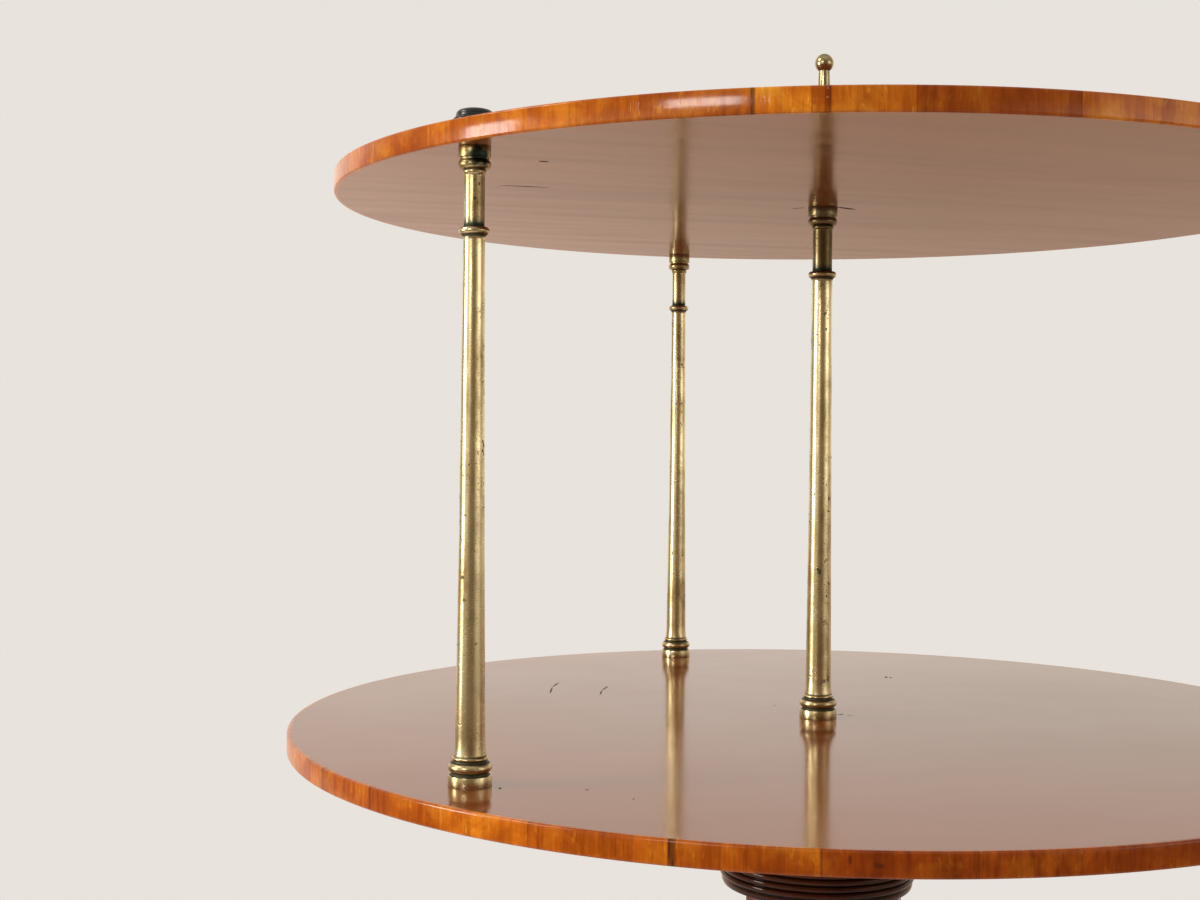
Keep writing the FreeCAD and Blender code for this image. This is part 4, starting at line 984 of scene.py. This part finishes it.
# %% Turn the finial
FINIAL_FOOT, FINIAL_BORE = 8.6, 4.55
FINIAL_OUTLINE = [
    (FINIAL_BORE, -BEDDING), (FINIAL_FOOT, -BEDDING), (FINIAL_FOOT, 3.2), (4.6, 3.2), (4.6, 6.2, 0.45),
    (4.6, 10.5), (6.2, 12.1, -0.207), (4.6, 34.0, 0.058), (4.1, 45.4), (3.6, 56.8), (3.1, 68.3),
    (0, 78.12, 0.3666), (0, 9.0), (FINIAL_BORE, 9.0), (FINIAL_BORE, -BEDDING),
]
finial = turned("turned_finial", FINIAL_OUTLINE, 72, 20)
soften(finial, 0.25)
smooth(finial)
shift(finial, (0, 0, UPPER_TOP))
# The groove attribute darkens the finial's hollows, partly as dirt and partly as painted shade.
mark_grooves(finial, (0, 0), 3.0, 1.2)
dress(finial, finial_brass, "stage", "aged_brass", "finial")

# %% [markdown]
# ## The tiers
#
# A tier is a thin board with a crossbanded lipping round it. The board is a circle extruded to
# its thickness. Bores for the columns are cut with a Boolean modifier, and each ends in the
# shallow seat that the collar above it has pressed into the wood. Top and underside are
# different faces of one mesh, so they take different materials.


# %% Cut the boards
CLEARANCE = 0.1


def board_for(node, outer_seat, centre_seat, top_material):
    """A round board like its node, bored for the spigots, with seats of these radii on top."""
    low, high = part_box(node)
    thickness = (high.z - low.z) / MM
    pick()
    bpy.ops.mesh.primitive_circle_add(vertices=360, radius=reach_of(node), fill_type="NGON", location=(0, 0, low.z))
    board = begin(f"{node}_board")
    edit()
    extrude((0, 0, thickness * MM))
    close()
    seats = [(place, "outer", outer_seat) for place in COLUMN_PLACES] + [((0, 0), "centre", centre_seat)]
    for place, kind, seat in seats:
        bore, seat, step = COLUMN_RADII[kind]["spigot"] + CLEARANCE, seat + CLEARANCE, thickness - BEDDING
        cutter = turned("cutter", [
            (0, -2), (bore, -2), (bore, step), (seat, step), (seat, thickness + 2), (0, thickness + 2),
        ], 48)
        shift(cutter, (*place, low.z))
        cut(board, cutter)
    board.data.materials.append(underside)
    board.data.materials.append(top_material)
    for face in board.data.polygons:
        face.material_index = int(face.normal.z > 0.5 and face.center.z > high.z - BEDDING * MM / 2)
    smooth(board)
    dress(board, None, "stage", "tier_veneer", node)


board_for("lower_tier", COLUMN_RADII["outer"]["collar"], COLUMN_RADII["centre"]["collar"], lower_top)
board_for("upper_tier", CAP_FOOT, FINIAL_FOOT, upper_top)


# %% [markdown]
# The lipping is a strip spun right round: flat inside, its two outer edges rounded by years of
# hands and cloths. Where the strip turns on to the top it has the top's mirror polish, and in
# the photograph that edge catches the light as a thin pale line.

# %% Spin the lippings
BAND_DEPTH, ARRIS, QUARTER_BOW = 2.6, 1.2, 0.2071


def lipping_for(node, material):
    """A lipping like its node, with rounded outer edges."""
    low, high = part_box(node)
    radius, thickness = reach_of(node) / MM, (high.z - low.z) / MM
    inside, shoulder = radius - BAND_DEPTH, radius - ARRIS
    band = turned(f"{node}_lipping", [
        (inside, 0), (shoulder, 0), (radius, ARRIS, QUARTER_BOW), (radius, thickness - ARRIS),
        (shoulder, thickness, QUARTER_BOW), (inside, thickness), (inside, 0),
    ], 360, 5)
    smooth(band, 40)
    shift(band, (0, 0, low.z))
    dress(band, material, "stage", "edge_crossbanding", node)


lipping_for("upper_edge_band", upper_rim)
lipping_for("lower_edge_band", lower_rim)

# %% [markdown]
# ## The reeded disc and the pedestal
#
# The disc under the lower tier is one more turning, near black, with five reeds between a
# small lip and a low crown. The pedestal below it is a block of three canted corners with
# hollow sides, drawn as arcs and extruded upwards.

# %% Turn the reeded disc
DISC_BORE, DISC_RADIUS, DISC_HEIGHT = 8.1, 55.2, 25.8
REEDS, REEDS_FOOT, REED_PITCH = 5, 4.4, 3.75
disc_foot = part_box("reeded_capital")[0].z
disc_outline = [(DISC_BORE, 0), (54.6, 0), (DISC_RADIUS, REEDS_FOOT, 0.085)]
disc_outline += [(DISC_RADIUS, REEDS_FOOT + REED_PITCH * reed, 0.33) for reed in range(1, REEDS + 1)]
disc_outline += [(47.0, DISC_HEIGHT, -0.084), (DISC_BORE, DISC_HEIGHT), (DISC_BORE, 0)]
disc = turned("reeded_disc", disc_outline, 192, 8)
soften(disc, 0.2, 60)
smooth(disc, 50)
# The groove attribute paints shade into the valleys between the reeds.
mark_grooves(disc, (0, 0), 0.8, 1.9)
shift(disc, (0, 0, disc_foot))
dress(disc, capital_wood, "base", "ebonised_mahogany", "reeded_capital")

# %% [markdown]
# The plan of the pedestal is three short straight corners joined by hollow arcs. Its foot has
# a dovetail socket in each corner, where a leg slides up and locks, and its top has the bore
# for the steel pivot. All the holes are cut with Boolean modifiers.


# %% Carve the pedestal
def prism(name, outline, low, high):
    """Extrudes a closed plan, in millimetres, from one height to the other, in metres."""
    piece = drawn(name, [(x * MM, y * MM, low) for x, y in outline_points(outline)])
    close()
    edit()
    bpy.ops.mesh.edge_face_add()
    extrude((0, 0, high - low))
    close()
    return piece


def seen_from(station, reach, side):
    """The plan place this far out along a station's direction and this far to its left."""
    angle = math.radians(120 * station - 30)
    return (reach * math.cos(angle) - side * math.sin(angle), reach * math.sin(angle) + side * math.cos(angle))


CORNER_REACH, CORNER_HALF, HOLLOW_BOW = 48.0, 13.7, -0.1285
SOCKET_DEPTH, PIVOT_BORE, PIVOT_GRIP = 86.15, 8.05, 60.0
PILOT_REACH, PILOT_RADIUS, PILOT_DEPTH = 22.0, 1.9, 7.0
SOCKET = [(35.85, -7.65), (48.0, -5.15), (50.0, -5.15), (50.0, 5.15), (48.0, 5.15), (35.85, 7.65), (35.85, -7.65)]
pedestal_low, pedestal_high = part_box("pedestal")
plan = []
for station in STATIONS:
    plan += [(*seen_from(station, CORNER_REACH, -CORNER_HALF), HOLLOW_BOW if plan else 0),
             seen_from(station, CORNER_REACH, CORNER_HALF)]
plan.append((*plan[0][:2], HOLLOW_BOW))
pedestal = prism("hollow_sided_pedestal", plan, pedestal_low.z, pedestal_high.z)
soften(pedestal, 0.7)
for station in STATIONS:
    cut(pedestal, prism("socket", [seen_from(station, *corner) for corner in SOCKET],
                        pedestal_low.z - MM, pedestal_low.z + SOCKET_DEPTH * MM))
    pilot = turned("pilot", [(0, -1), (PILOT_RADIUS, -1), (PILOT_RADIUS, PILOT_DEPTH), (0, PILOT_DEPTH)], 24)
    shift(pilot, (*(value * MM for value in seen_from(station, PILOT_REACH, 0)), pedestal_low.z))
    cut(pedestal, pilot)
bore = turned("bore", [(0, 0), (PIVOT_BORE, 0), (PIVOT_BORE, PIVOT_GRIP + 1), (0, PIVOT_GRIP + 1)], 48)
shift(bore, (0, 0, pedestal_high.z - PIVOT_GRIP * MM))
cut(pedestal, bore)
smooth(pedestal)
dress(pedestal, pedestal_wood, "base", "mahogany", "pedestal")

# %% [markdown]
# Wood screws with slotted cheese heads hold the boss under the lower tier and the iron plate
# under the pedestal. One screw is turned and slotted, then copied to its places. Each slot
# stops at its own angle, as hand-driven screws do.

# %% Turn the screws
HEAD_RADIUS, HEAD_HEIGHT, SHANK_RADIUS, SLOT_HALF, SLOT_DEPTH = 3.6, 2.6, 1.9, 0.4, 0.9
FIRST_SLOT, NEXT_SLOT = 20, 49
BOSS_SCREWS_REACH, PLATE_SCREWS_REACHES = 71, (22, 62)


def screws_for(node, body, places):
    """One mesh of slotted screws, as long as their node, at these plan places."""
    low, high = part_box(node)
    length = (high.z - low.z) / MM
    screw = turned(node + "_slotted", [
        (0, 0), (2.9, 0), (HEAD_RADIUS, 0.7, 0.2), (HEAD_RADIUS, HEAD_HEIGHT), (SHANK_RADIUS, HEAD_HEIGHT),
        (SHANK_RADIUS, length), (0, length),
    ], 40)
    slot = [(-5, -SLOT_HALF), (5, -SLOT_HALF), (5, SLOT_HALF), (-5, SLOT_HALF), (-5, -SLOT_HALF)]
    cut(screw, prism("slot", slot, -MM, SLOT_DEPTH * MM))
    smooth(screw)
    copies = [copied(screw, f"{node}_copy") for _ in places[1:]]
    for index, (piece, (x, y)) in enumerate(zip([screw, *copies], places)):
        pick(piece)
        slot_angle = math.radians(FIRST_SLOT + NEXT_SLOT * index)
        bpy.ops.transform.rotate(value=slot_angle, orient_axis="Z", center_override=(0, 0, 0))
        shift(piece, (x * MM, y * MM, low.z))
    pick(*copies, screw)
    bpy.ops.object.join()
    dress(screw, steel, body, "steel", node)


screws_for("boss_screws", "stage", [place_at(angle, BOSS_SCREWS_REACH) for angle in range(0, 360, 60)])
screws_for("plate_screws", "base", [
    seen_from(station, reach, 0) for station in STATIONS for reach in PLATE_SCREWS_REACHES
])

# %% [markdown]
# ## What keeps its CAD mesh
#
# The boss, legs, castors and hidden fittings look right as the CAD made them, so they only
# take a finish. Each leg has its own material, whose grain is turned to run along the leg.


# %% Give the remaining nodes their materials
def paint(material, *nodes):
    """Gives CAD nodes that keep their own mesh a better material."""
    for name in nodes:
        slots = bpy.data.objects[name].material_slots if name in bpy.data.objects else []
        for material_slot in slots:
            material_slot.material = material
        print("painted", name, len(slots))


paint(boss_wood, "stage_boss")
paint(fitting_brass, "column_washers", "column_nuts", "centre_nut", "boss_bush", "thrust_washer", "toe_cap_pins")
paint(steel, "spindle")
paint(wrought_iron, "tripod_plate")
LEG_SLOPE = 30
for station in STATIONS:
    leg_wood = mahogany_material(f"leg_mahogany_{station}", RED_LIGHT, RED_DARK,
                                 (0, -LEG_SLOPE, 30 - 120 * station), (0.16, 0.3))
    paint(leg_wood, f"leg_{station}")
    for part in ("castor_cap", "castor_fork", "castor_axle", "castor_wheel"):
        paint(fitting_brass, f"{part}_{station}")
